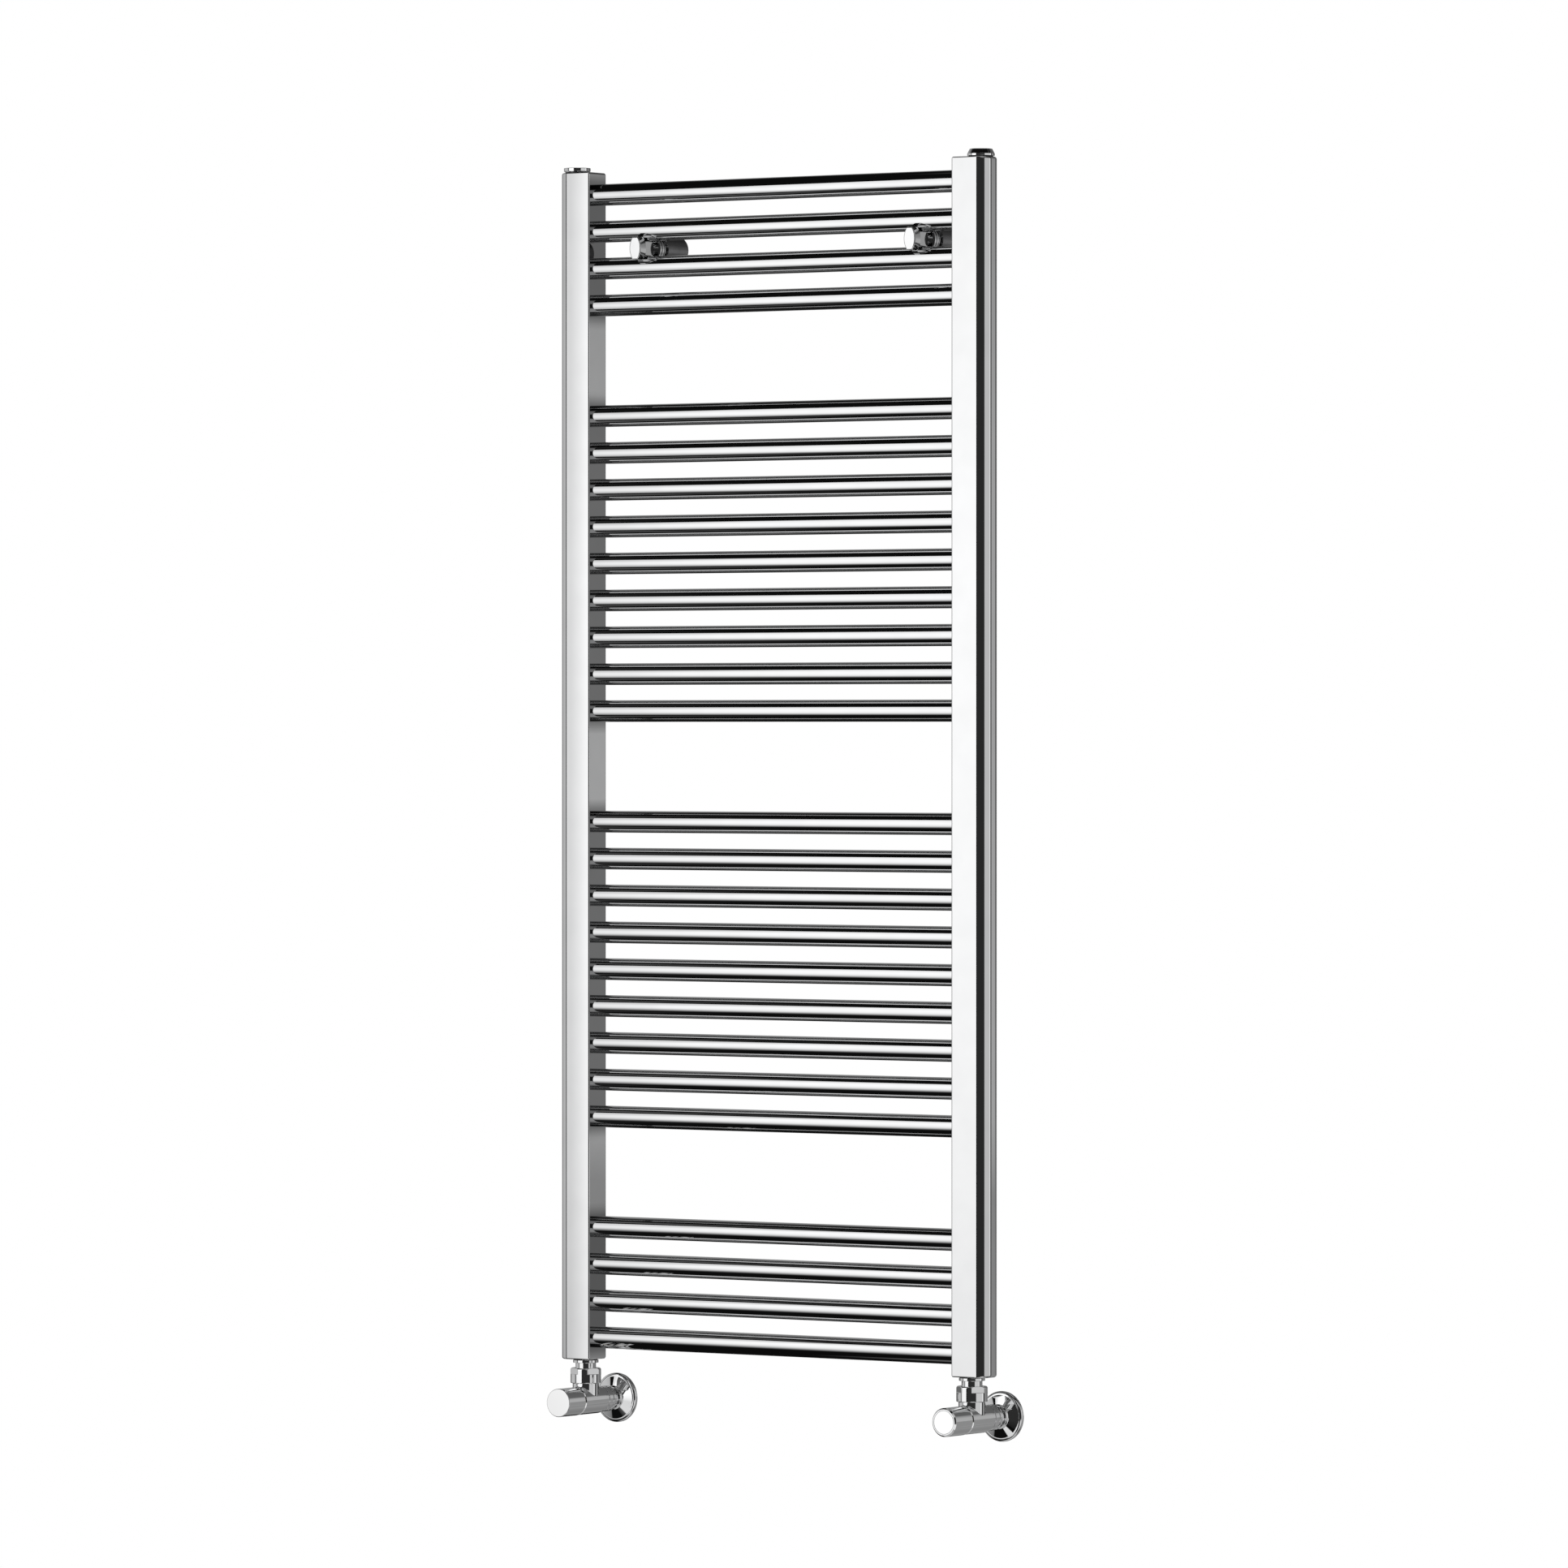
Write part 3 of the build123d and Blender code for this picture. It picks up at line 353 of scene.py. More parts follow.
class Shader(NodeMaker):
    """The node tree of a material."""

    noise_low: float = 0.3
    noise_high: float = 0.7

    def __init__(self, name: str) -> None:
        """Start an empty material.

        Args:
            name: Name of the material.
        """
        self.material = bpy.data.materials.new(name)
        self.material.use_nodes = True
        super().__init__(self.material.node_tree)
        self.output = self.node("ShaderNodeOutputMaterial")

    def place(self, origin: Triple = (0.0, 0.0, 0.0)) -> tuple[Socket, ...]:
        """Place of the surface point.

        Args:
            origin: Point that it is counted from, in metres.

        Returns:
            Its X, Y and Z.
        """
        point = self.node("ShaderNodeNewGeometry").outputs["Position"]
        offset = self.node("ShaderNodeVectorMath", {0: point, 1: origin}, operation="SUBTRACT")
        return tuple(self.node("ShaderNodeSeparateXYZ", {0: offset.outputs[0]}).outputs)

    def rise(self, value: Socket, low: float, high: float) -> Socket:
        """Smooth step from 0 at low to 1 at high.

        Args:
            value: Socket to read.
            low: Value where the step starts.
            high: Value where the step ends.

        Returns:
            The step.
        """
        made = self.node(
            "ShaderNodeMapRange",
            {"Value": value, "From Min": low, "From Max": high},
            interpolation_type="SMOOTHSTEP",
        )
        return made.outputs["Result"]

    def noise(self, scale: float, detail: float, stretch: Triple = (1, 1, 1)) -> Socket:
        """Noise in the object's own metres.

        Args:
            scale: Noise scale, in cells per metre.
            detail: Octaves.
            stretch: Factor on each axis.

        Returns:
            The noise, about 0 to 1.
        """
        point = self.node("ShaderNodeTexCoord").outputs["Object"]
        mapped = self.node("ShaderNodeMapping", {"Vector": point, "Scale": stretch}).outputs[0]
        made = self.node("ShaderNodeTexNoise", {"Vector": mapped, "Scale": scale, "Detail": detail})
        return made.outputs["Fac"]

    def spread(self, value: Socket, low: float, high: float) -> Socket:
        """Map the usual range of noise to another range.

        Args:
            value: Noise socket.
            low: Result at low noise.
            high: Result at high noise.

        Returns:
            The mapped value.
        """
        usual = {"Value": value, "From Min": self.noise_low, "From Max": self.noise_high}
        made = self.node("ShaderNodeMapRange", {**usual, "To Min": low, "To Max": high})
        return made.outputs["Result"]

    def _ramp(self, value: Socket, stops: Sequence[tuple[float, Triple]]) -> Socket:
        """Colour that changes between stops.

        Args:
            value: Socket to read, 0 to 1.
            stops: Place and colour of each stop, in order.

        Returns:
            The colour.
        """
        ramp = self.node("ShaderNodeValToRGB", {"Fac": value})
        elements = ramp.color_ramp.elements
        while len(elements) < len(stops):
            elements.new(1.0)
        for element, (place, colour) in zip(elements, stops):
            element.position = place
            element.color = (*colour, 1)
        return ramp.outputs["Color"]

    def tint(self, value: Socket, low: Triple, high: Triple) -> Socket:
        """Blend of two colours by noise."""
        return self._ramp(value, ((self.noise_low, low), (self.noise_high, high)))

    def steps(self, value: Socket, low: float, high: float, stops: Stops) -> Socket:
        """Grey level that changes between stops.

        Args:
            value: Socket to read.
            low: Value at the start of the ramp.
            high: Value at the end of the ramp.
            stops: Value and level of each stop, in order.

        Returns:
            The level.
        """
        share = self.node("ShaderNodeMapRange", {"Value": value, "From Min": low, "From Max": high})
        greys = [((place - low) / (high - low), (level, level, level)) for place, level in stops]
        return self._ramp(share.outputs["Result"], greys)

    def surface(self, socket: Socket) -> bpy.types.Material:
        """Use a socket as the surface and return the material."""
        self.tree.links.new(socket, self.output.inputs["Surface"])
        return self.material


def centre_of(node: str) -> Vector:
    """Middle of a node's box."""
    low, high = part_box(node)
    return (low + high) / 2


def tube_nodes() -> list[str]:
    """Names of the cross tubes' nodes, from the top down."""
    return sorted(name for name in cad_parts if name.startswith("tube_"))


@dataclass(frozen=True)
class Finish:
    """Two near tones of a surface, and the record's slot that it stands for."""

    name: str
    slot: str
    dark: Triple
    light: Triple

    def material(self) -> bpy.types.Material:
        """Make the material."""
        raise NotImplementedError


@dataclass(frozen=True)
class MetalFinish(Finish):
    """Polished or turned metal with a range of roughness and a faint ripple."""

    smooth: float
    dull: float
    grain: float = 38.0
    stretch: Triple = (1, 1, 1)
    ripple: float = 0.02
    ripple_depth: float = 0.0004
    cloud_detail: float = 3.0
    wipe_ratio: float = 6.0
    wipe_detail: float = 2.0
    wipe_stretch: Triple = (1, 1, 0.2)

    def colour(self, shader: Shader, clouds: Socket) -> Socket:
        """Metal tone that varies with the polishing clouds."""
        return shader.tint(clouds, self.dark, self.light)

    def material(self) -> bpy.types.Material:
        """Make the material.

        Returns:
            A metal whose tone and gloss vary a little with polishing clouds.
        """
        shader = Shader(self.name)
        clouds = shader.noise(self.grain, self.cloud_detail, self.stretch)
        wipes = shader.noise(self.grain * self.wipe_ratio, self.wipe_detail, self.wipe_stretch)
        wave = shader.node(
            "ShaderNodeBump",
            {"Height": clouds, "Strength": self.ripple, "Distance": self.ripple_depth},
        )
        metal = shader.node(
            "ShaderNodeBsdfPrincipled",
            {
                "Base Color": self.colour(shader, clouds),
                "Roughness": shader.spread(wipes, self.smooth, self.dull),
                "Metallic": 1.0,
                "Normal": wave.outputs[0],
            },
        )
        return shader.surface(metal.outputs[0])


@dataclass(frozen=True)
class HeaderPaintedShadeFinish(MetalFinish):
    """Rail chrome with painted shade: its tone is darkened on a header's inner face between the tubes of each
    group, where the tubes stand close together.
    """

    # Tone factor of the painted shade, the height over which it fades out past a group's end tubes, and the
    # depth behind the inner face over which it ends.
    recess: float = 0.4
    painted_shade_soft: float = 0.012
    painted_shade_skin: float = 0.0005

    def _groups(self) -> list[list[float]]:
        """Find the groups of tubes between the towel gaps.

        Returns:
            Lowest and highest height of each group, from the foot up.
        """
        tubes = sorted(map(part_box, tube_nodes()), key=lambda box: box[0].z)
        groups = [[tubes[0][0].z, tubes[0][1].z]]
        for low, high in tubes[1:]:
            if low.z - groups[-1][1] > high.z - low.z:
                groups.append([low.z, high.z])
            groups[-1][1] = high.z
        return groups

    def colour(self, shader: Shader, clouds: Socket) -> Socket:
        """Metal tone, with painted shade on the inner faces between the tubes of a group.

        Args:
            shader: Shader that takes the nodes.
            clouds: Noise of the polishing clouds.

        Returns:
            The tone.
        """
        x, _, z = shader.place()
        left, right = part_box("header_left")[1].x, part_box("header_right")[0].x
        half = (right - left) / 2
        apart = shader.math("ABSOLUTE", shader.math("SUBTRACT", x, (left + right) / 2))
        outside = shader.rise(apart, half, half + self.painted_shade_skin)
        stops = []
        for low, high in self._groups():
            stops += [(low - self.painted_shade_soft, 1.0), (low, self.recess)]
            stops += [(high, self.recess), (high + self.painted_shade_soft, 1.0)]
        # Painted shade: the tone is scaled down on the inner face along each group of tubes and stays whole
        # elsewhere.
        inner = shader.steps(z, stops[0][0], stops[-1][0], stops)
        level = shader.math("MAXIMUM", outside, inner)
        tone = super().colour(shader, clouds)
        return shader.node("ShaderNodeVectorMath", {0: tone, "Scale": level}, operation="SCALE").outputs[0]


@dataclass(frozen=True)
class RubberFinish(Finish):
    """Rubber with a dull, slightly dusty surface."""

    smooth: float = 0.5
    dull: float = 0.7
    grain: float = 900.0
    grain_detail: float = 4.0
    relief: float = 0.2
    relief_depth: float = 0.0001

    def material(self) -> bpy.types.Material:
        """Make the material.

        Returns:
            A rubber with fine grain.
        """
        shader = Shader(self.name)
        dust = shader.noise(self.grain, self.grain_detail)
        bump = shader.node(
            "ShaderNodeBump",
            {"Height": dust, "Strength": self.relief, "Distance": self.relief_depth},
        )
        rubber = shader.node(
            "ShaderNodeBsdfPrincipled",
            {
                "Base Color": shader.tint(dust, self.dark, self.light),
                "Roughness": shader.spread(dust, self.smooth, self.dull),
                "Normal": bump.outputs[0],
            },
        )
        return shader.surface(rubber.outputs[0])


RAIL_CHROME = MetalFinish(
    "polished_rail_chrome", "rail_chrome", (0.69, 0.693, 0.697), (0.715, 0.718, 0.722), 0.018, 0.04
)
# Rail chrome with painted shade on the headers' inner faces between the tubes.
HEADER_CHROME_PAINTED_SHADE = HeaderPaintedShadeFinish(
    "header_chrome_painted_shade", "rail_chrome", RAIL_CHROME.dark, RAIL_CHROME.light, 0.018, 0.04
)
FITTING_CHROME = MetalFinish(
    "polished_fitting_chrome", "fitting_chrome", (0.80, 0.803, 0.807), (0.835, 0.838, 0.842), 0.02, 0.045
)
# Brighter copy of the fitting chrome for the faces that look straight to the front, a painted highlight.
FACE_CHROME_PAINTED_HIGHLIGHT = MetalFinish(
    "fitting_chrome_painted_highlight", "fitting_chrome", (0.94, 0.94, 0.94), (0.96, 0.96, 0.96), 0.015, 0.03
)
BRACKET_CHROME = MetalFinish(
    "plated_bracket_chrome", "bracket_chrome", (0.73, 0.733, 0.737), (0.77, 0.773, 0.777), 0.06, 0.11
)
# Dark metal on the wall sleeves, much darker than the bracket chrome.
SLEEVE_DARK_METAL = MetalFinish(
    "dark_sleeve_metal", "sleeve_plastic", (0.2, 0.2, 0.204), (0.25, 0.25, 0.254), 0.12, 0.2
)
VALVE_BRASS = MetalFinish(
    "turned_brass", "valve_brass", (0.60, 0.44, 0.19), (0.72, 0.56, 0.28), 0.16, 0.30, 160.0, (1, 0.2, 1), 0.1
)
SCREW_STEEL = MetalFinish(
    "blackened_steel", "screw_steel", (0.10, 0.10, 0.105), (0.17, 0.17, 0.175), 0.3, 0.45, 300.0
)
SEAL_RUBBER = RubberFinish(
    "black_rubber", "seal_rubber", (0.012, 0.012, 0.013), (0.035, 0.035, 0.036)
)


class Wardrobe:
    """Makes each finish once and puts it on pieces and carried-over nodes.

    A face looks straight to the front where the Y of its normal is below facing_front.
    """

    facing_front: float = -0.999

    def __init__(self) -> None:
        """Start with no finish made."""
        self._made: dict[str, bpy.types.Material] = {}

    def _material(self, finish: Finish) -> bpy.types.Material:
        """Look a finish up, and make it on its first use.

        Args:
            finish: The finish.

        Returns:
            Its material.
        """
        if finish.name not in self._made:
            self._made[finish.name] = finish.material()
        return self._made[finish.name]

    def dress(self, piece: Piece, finish: Finish) -> None:
        """Put a finish on a piece as its only material."""
        piece.data.materials.clear()
        piece.data.materials.append(self._material(finish))

    def face(self, piece: Piece, finish: Finish) -> None:
        """Put a second finish on the faces that look straight to the front.

        Args:
            piece: Dressed piece.
            finish: Finish of its front.
        """
        piece.data.materials.append(self._material(finish))
        for polygon in piece.data.polygons:
            if polygon.normal.y < self.facing_front:
                polygon.material_index = 1

    def place(self, piece: Piece, finish: Finish, body: str, *nodes: str) -> None:
        """Dress a new piece, let it ride on its body and stand for its nodes.

        Args:
            piece: The new piece.
            finish: Its finish.
            body: Body that carries it.
            nodes: Nodes that it replaces.
        """
        self.dress(piece, finish)
        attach(piece, body)
        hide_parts(*nodes)
        LOG.info("%s rides on %s and stands for %s", piece.name, body, ", ".join(nodes))

    def keep(self, node: str, finish: Finish) -> None:
        """Dress a node that is shown as it is."""
        self.dress(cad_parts[node], finish)
        LOG.info("%s is shown as packed", node)


@dataclass
class Header:
    """Upright header with its two end caps: round outside, flat inside, rounded at both ends."""

    side: Side
    outer_radius: float = 12.6
    inner_radius: float = 1.8
    front_edge: float = 1.3
    inner_edge: float = 2.4
    back_edge: float = 2.8
    valve_inset: float = 15.0
    plug_inset: float = 25.5
    socket_radius: float = 10.3
    socket_depth: float = 10.0
    least_radius: float = 0.15
    front_lean: float = 1.5
    arc_steps: int = 20
    edge_steps: int = 12

    @staticmethod
    def _ray(degrees: float) -> np.ndarray:
        """Level direction at an angle from X."""
        return np.array((math.cos(math.radians(degrees)), math.sin(math.radians(degrees))))

    def _loop(self, share: float) -> tuple[np.ndarray, np.ndarray, np.ndarray]:
        """Section of the header, drawn in by a share of each side's edge rounding.

        The normals of the front lean outwards at its two edges, which crowns it in the light.

        Args:
            share: 0 for the full section, 1 for the rim of the flat end.

        Returns:
            Points in metres, outward normals in the level plane and the edge rounding at each point.
        """
        low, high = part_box(f"header_{self.side.label}")
        at_left = (self.back_edge, self.outer_radius)
        at_right = (self.inner_edge, self.inner_radius)
        if self.side is Side.RIGHT:
            at_left, at_right = at_right, at_left
        left, right = low.x + share * at_left[0] * MM, high.x - share * at_right[0] * MM
        front, back = low.y + share * self.front_edge * MM, high.y - share * self.back_edge * MM
        corners = (
            (right, front, -1, 1, at_right[1], -90, self.front_edge, at_right[0]),
            (right, back, -1, -1, at_right[1], 0, at_right[0], self.back_edge),
            (left, back, 1, -1, at_left[1], 90, self.back_edge, at_left[0]),
            (left, front, 1, 1, at_left[1], 180, at_left[0], self.front_edge),
        )
        points, normals, edges = [], [], []
        for x, y, way_x, way_y, full, start, edge, next_edge in corners:
            radius = max(full - share * (edge + next_edge) / 2, self.least_radius) * MM
            first_lean = self.front_lean if start == -90 else 0.0
            last_lean = self.front_lean if start == 180 else 0.0
            for step in range(self.arc_steps + 1):
                part = step / self.arc_steps
                angle = start + 90 * part
                points.append(np.array((x + way_x * radius, y + way_y * radius)) + radius * self._ray(angle))
                normals.append(self._ray(angle + first_lean * (1 - part) - last_lean * part))
                ease = (1 - math.cos(math.pi * part)) / 2
                edges.append(edge + (next_edge - edge) * ease)
        return np.array(points), np.array(normals), np.array(edges)

    @staticmethod
    def _at(loop: np.ndarray, height: float | np.ndarray) -> np.ndarray:
        """Level points lifted to a height."""
        return np.column_stack((loop, np.broadcast_to(height, len(loop))))

    def _end(self, skin: Skin, end: float, lift: float, inset: float) -> list[Ring]:
        """Add the socket of one end and make the rings of its face and rounded edge.

        Args:
            skin: Skin that takes the socket.
            end: Height of the end face, in metres.
            lift: 1 for the top end, -1 for the foot.
            inset: Socket axis from the header's inner face, in mm.

        Returns:
            Points and normals of each ring, from the socket out to the straight wall.
        """
        low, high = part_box(f"header_{self.side.label}")
        inner = high.x if self.side is Side.LEFT else low.x
        axis = np.array((inner + self.side.outward * inset * MM, (low.y + high.y) / 2))
        rim = self._loop(1.0)[0]
        rays = rim - axis
        rays /= np.linalg.norm(rays, axis=1, keepdims=True)
        up = np.tile((0.0, 0.0, lift), (len(rays), 1))
        inward = np.column_stack((-rays, np.zeros(len(rays))))
        floor = end - lift * self.socket_depth * MM
        hole = axis + rays * self.socket_radius * MM
        bottom = tuple(range(len(rays)))
        skin.add(self._at(hole, floor), up, [bottom if lift > 0 else bottom[::-1]])
        wall = [(self._at(hole, floor), inward), (self._at(hole, end), inward)]
        skin.band(wall if lift < 0 else wall[::-1])
        rings = [(self._at(hole, end), up)]
        for step in range(self.edge_steps + 1):
            angle = math.pi / 2 * (1 - step / self.edge_steps)
            loop, normals, edges = self._loop(1 - math.cos(angle))
            height = end - lift * edges * (1 - math.sin(angle)) * MM
            level = np.column_stack((normals, np.zeros(len(normals)))) * math.cos(angle)
            rings.append((self._at(loop, height), level + up * math.sin(angle)))
        return rings

    def build(self) -> Piece:
        """Build the header's skin.

        Returns:
            The new piece.
        """
        label = self.side.label
        skin = Skin()
        foot = self._end(skin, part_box(f"end_cap_{label}_foot")[0].z, -1.0, self.valve_inset)
        top = self._end(skin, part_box(f"end_cap_{label}_top")[1].z, 1.0, self.plug_inset)
        skin.band(foot + top[::-1])
        return skin.make(f"header_shell_{label}")


@dataclass
class TopPlug:
    """Plug on top of a header: threaded shank, round head and a key socket in its top.

    The bore is 0 where no hole goes through the plug.
    """

    node: str
    bore: float
    foot_radius: float
    foot_edge: Edge
    side_radius: float
    side_height: float
    top_radius: float
    mouth_radius: float
    mouth_edge: Edge
    socket_radius: float
    socket_edge: Edge
    socket_depth: float
    thread_radius: float = 10.2
    thread_length: float = 9.0
    seal_height: float = 0.8

    def build(self) -> Piece:
        """Turn the plug.

        Returns:
            The new piece.
        """
        low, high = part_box(self.node)
        centre = centre_of(self.node)
        base = self.thread_length + self.seal_height
        top = (high.z - low.z) / MM
        floor = top - self.socket_depth
        outline = Outline(
            (
                Corner(self.bore, 0),
                Corner(self.thread_radius, 0, Edge.SOFT),
                Corner(self.thread_radius, base),
                Corner(self.foot_radius, base, self.foot_edge),
                Corner(self.side_radius, base + self.side_height, Edge.EASED),
                Corner(self.top_radius, top, Edge.SOFT),
                Corner(self.mouth_radius, top, self.mouth_edge),
                Corner(self.socket_radius, floor, self.socket_edge),
                Corner(self.bore, floor),
            ),
            closed=self.bore > 0,
        )
        return outline.piece(f"{self.node}_turned", TurnAxis.UP, (centre.x, centre.y, low.z))


VENT_PLUG = TopPlug(
    node="vent_plug",
    bore=3.05,
    foot_radius=12.1,
    foot_edge=Edge.FINE,
    side_radius=13.5,
    side_height=1.0,
    top_radius=13.5,
    mouth_radius=7.0,
    mouth_edge=Edge.EASED,
    socket_radius=6.6,
    socket_edge=Edge.CRISP,
    socket_depth=2.0,
)
BLANKING_PLUG = TopPlug(
    node="blanking_plug",
    bore=0,
    foot_radius=13.6,
    foot_edge=Edge.SLIGHT,
    side_radius=13.6,
    side_height=2.0,
    top_radius=11.15,
    mouth_radius=5.6,
    mouth_edge=Edge.SLIGHT,
    socket_radius=5.0,
    socket_edge=Edge.PLAIN,
    socket_depth=4.0,
)


@dataclass
class Rail:
    """Headers, cross tubes, top plugs and seals."""

    wardrobe: Wardrobe
    plugs: tuple[TopPlug, ...] = (VENT_PLUG, BLANKING_PLUG)

    def build(self) -> None:
        """Build every piece of the rail."""
        for side in Side:
            label = side.label
            nodes = (f"header_{label}", f"end_cap_{label}_top", f"end_cap_{label}_foot")
            self.wardrobe.place(Header(side).build(), HEADER_CHROME_PAINTED_SHADE, "rail", *nodes)
        for node in tube_nodes():
            self.wardrobe.place(self._tube(node), RAIL_CHROME, "rail", node)
        for plug in self.plugs:
            self.wardrobe.place(plug.build(), FITTING_CHROME, "rail", plug.node)
        self.wardrobe.keep("seals", SEAL_RUBBER)
        self.wardrobe.keep("vent_screw", VALVE_BRASS)

    @staticmethod
    def _tube(node: str) -> Piece:
        """Cross tube with its ends inside the headers.

        Args:
            node: Name of the tube's node.

        Returns:
            The new piece.
        """
        low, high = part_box(node)
        radius = round((high.z - low.z) / 2 / MM, 3)
        end = (high.x - low.x) / 2 / MM
        corners = (Corner(0, -end), Corner(radius, -end), Corner(radius, end), Corner(0, end))
        outline = Outline(corners, closed=False)
        return outline.piece(f"cross_{node}", TurnAxis.ACROSS, centre_of(node), Round.COARSE)


@dataclass
class Brackets:
    """The two wall brackets: front clamps, ridged rear clamps, wall sleeves and set screws."""

    wardrobe: Wardrobe

    def build(self) -> None:
        """Dress the brackets' nodes."""
        for side in Side:
            for part in ("front_clamp", "rear_clamp"):
                self.wardrobe.keep(f"{part}_{side.label}", BRACKET_CHROME)
            self.wardrobe.keep(f"wall_sleeve_{side.label}", SLEEVE_DARK_METAL)
        self.wardrobe.keep("grub_screws", SCREW_STEEL)


@dataclass
class UnionNut:
    """Round union nut with four spanner flats cut into its upper part and softened edges.

    Its surface is found by halving the way between two radii, on rings that stand close together in the
    zones of its edges.
    """

    turn: float
    radius: float = 15.5
    across_flats: float = 28.0
    flat_height: float = 6.2
    top_edge: float = 1.2
    foot_edge: float = 0.5
    bore: float = 10.55
    cavity: float = 11.8
    lip: float = 2.8
    top_edge_rounding: float = 0.6
    foot_edge_rounding: float = 0.2
    flat_rounding: float = 0.3
    ledge_rounding: float = 0.25
    top_rounding: float = 0.45
    foot_zone: float = 0.8
    ledge_zone: float = 0.4
    bevel_zone: float = 2.0
    rim_zone: float = 0.6
    rim_gap: float = 0.001
    arc_steps: int = 32
    wall_steps: int = 8
    ledge_steps: int = 14
    rim_steps: int = 10
    near_radius: float = 9.0
    far_radius: float = 18.0
    halvings: int = 36
    probe: float = 0.004

    @staticmethod
    def _join(one: np.ndarray, two: np.ndarray, rounding: float) -> np.ndarray:
        """Larger of two distances, with the edge between them rounded."""
        return np.maximum(one, two) + np.maximum(rounding - np.abs(one - two), 0) ** 2 / (4 * rounding)

    @staticmethod
    def _eased(steps: int) -> np.ndarray:
        """Shares from 0 to 1 that stand closer together at both ends."""
        return (1 - np.cos(np.linspace(0, math.pi, steps + 1))) / 2

    def _outside(self, points: np.ndarray, height: float) -> np.ndarray:
        """Distance from the nut's outer surface.

        Args:
            points: Places from the middle of the nut's foot, in mm.
            height: Height of the nut, in mm.

        Returns:
            Negative inside and positive outside.
        """
        reach = np.hypot(points[:, 0], points[:, 1])
        lift = points[:, 2]
        top = (reach + lift - self.radius - height + self.top_edge) / math.sqrt(2)
        foot = (reach - lift - self.radius + self.foot_edge) / math.sqrt(2)
        shape = self._join(reach - self.radius, top, self.top_edge_rounding)
        shape = self._join(shape, foot, self.foot_edge_rounding)
        for quarter in range(4):
            angle = math.radians(self.turn + 90 * quarter)
            flat = points[:, 0] * math.cos(angle) + points[:, 1] * math.sin(angle) - self.across_flats / 2
            cut = -self._join(-flat, height - self.flat_height - lift, self.ledge_rounding)
            shape = self._join(shape, cut, self.flat_rounding)
        return self._join(shape, lift - height, self.top_rounding)

    def _angles(self) -> np.ndarray:
        """Find bearings round the nut, close together at the edges of the flats.

        Returns:
            The bearings, in radians.
        """
        half = math.degrees(math.acos(self.across_flats / 2 / self.radius))
        shares = self._eased(self.arc_steps)[:-1]
        flat = -half + 2 * half * shares
        corner = half + (90 - 2 * half) * shares
        quarters = [np.concatenate((flat, corner)) + self.turn + 90 * quarter for quarter in range(4)]
        return np.radians(np.concatenate(quarters))

    def _levels(self, height: float) -> np.ndarray:
        """Find heights of the rings, close together at the edges and at the ledge under the flats.

        Args:
            height: Height of the nut, in mm.

        Returns:
            The heights in mm, from the foot up.
        """
        ledge = height - self.flat_height
        under, over = ledge - self.ledge_zone, ledge + self.ledge_zone
        bevel, rim = height - self.bevel_zone, height - self.rim_zone
        wall = self._eased(self.wall_steps)
        stretches = (
            (0.0, self.foot_zone, wall),
            (self.foot_zone, under, wall),
            (under, over, np.linspace(0, 1, self.ledge_steps + 1)),
            (over, bevel, wall),
            (bevel, rim, np.linspace(0, 1, self.wall_steps + 1)),
            (rim, height - self.rim_gap, 1 - np.linspace(1, 0, self.rim_steps + 1) ** 2),
        )
        return np.unique(np.concatenate([low + (high - low) * share for low, high, share in stretches]))

    def add(self, skin: Skin, low: float, high: float, x: float, y: float) -> None:
        """Add one nut to a skin.

        Args:
            skin: Skin that takes it.
            low: Height of its foot, in metres.
            high: Height of its top, in metres.
            x: Place of its axis.
            y: Place of its axis.
        """
        height = (high - low) / MM
        angles = self._angles()
        rays = np.column_stack((np.cos(angles), np.sin(angles), np.zeros(len(angles))))
        up = np.tile((0.0, 0.0, 1.0), (len(angles), 1))
        rings, slopes = [], []
        for level in self._levels(height):
            near, far = np.full(len(angles), self.near_radius), np.full(len(angles), self.far_radius)
            for _ in range(self.halvings):
                middle = (near + far) / 2
                inside = self._outside(rays * middle[:, None] + up * level, height) < 0
                near, far = np.where(inside, middle, near), np.where(inside, far, middle)
            places = rays * near[:, None] + up * level
            steps = [
                self._outside(places + probe, height) - self._outside(places - probe, height)
                for probe in self.probe * np.eye(3)
            ]
            rings.append(places)
            slopes.append(np.column_stack(steps))
        roof = height - self.lip
        bands = (
            tuple(zip(rings, slopes)),
            ((rings[-1], up), (rays * self.bore + up * height, up)),
            ((rays * self.bore + up * height, -rays), (rays * self.bore + up * roof, -rays)),
            ((rays * self.bore + up * roof, -up), (rays * self.cavity + up * roof, -up)),
            ((rays * self.cavity + up * roof, -rays), (rays * self.cavity, -rays)),
            ((rays * self.cavity, -up), (rings[0], -up)),
        )
        foot = np.array((x, y, low))
        for rows in bands:
            skin.band([(foot + places * MM, normals) for places, normals in rows])


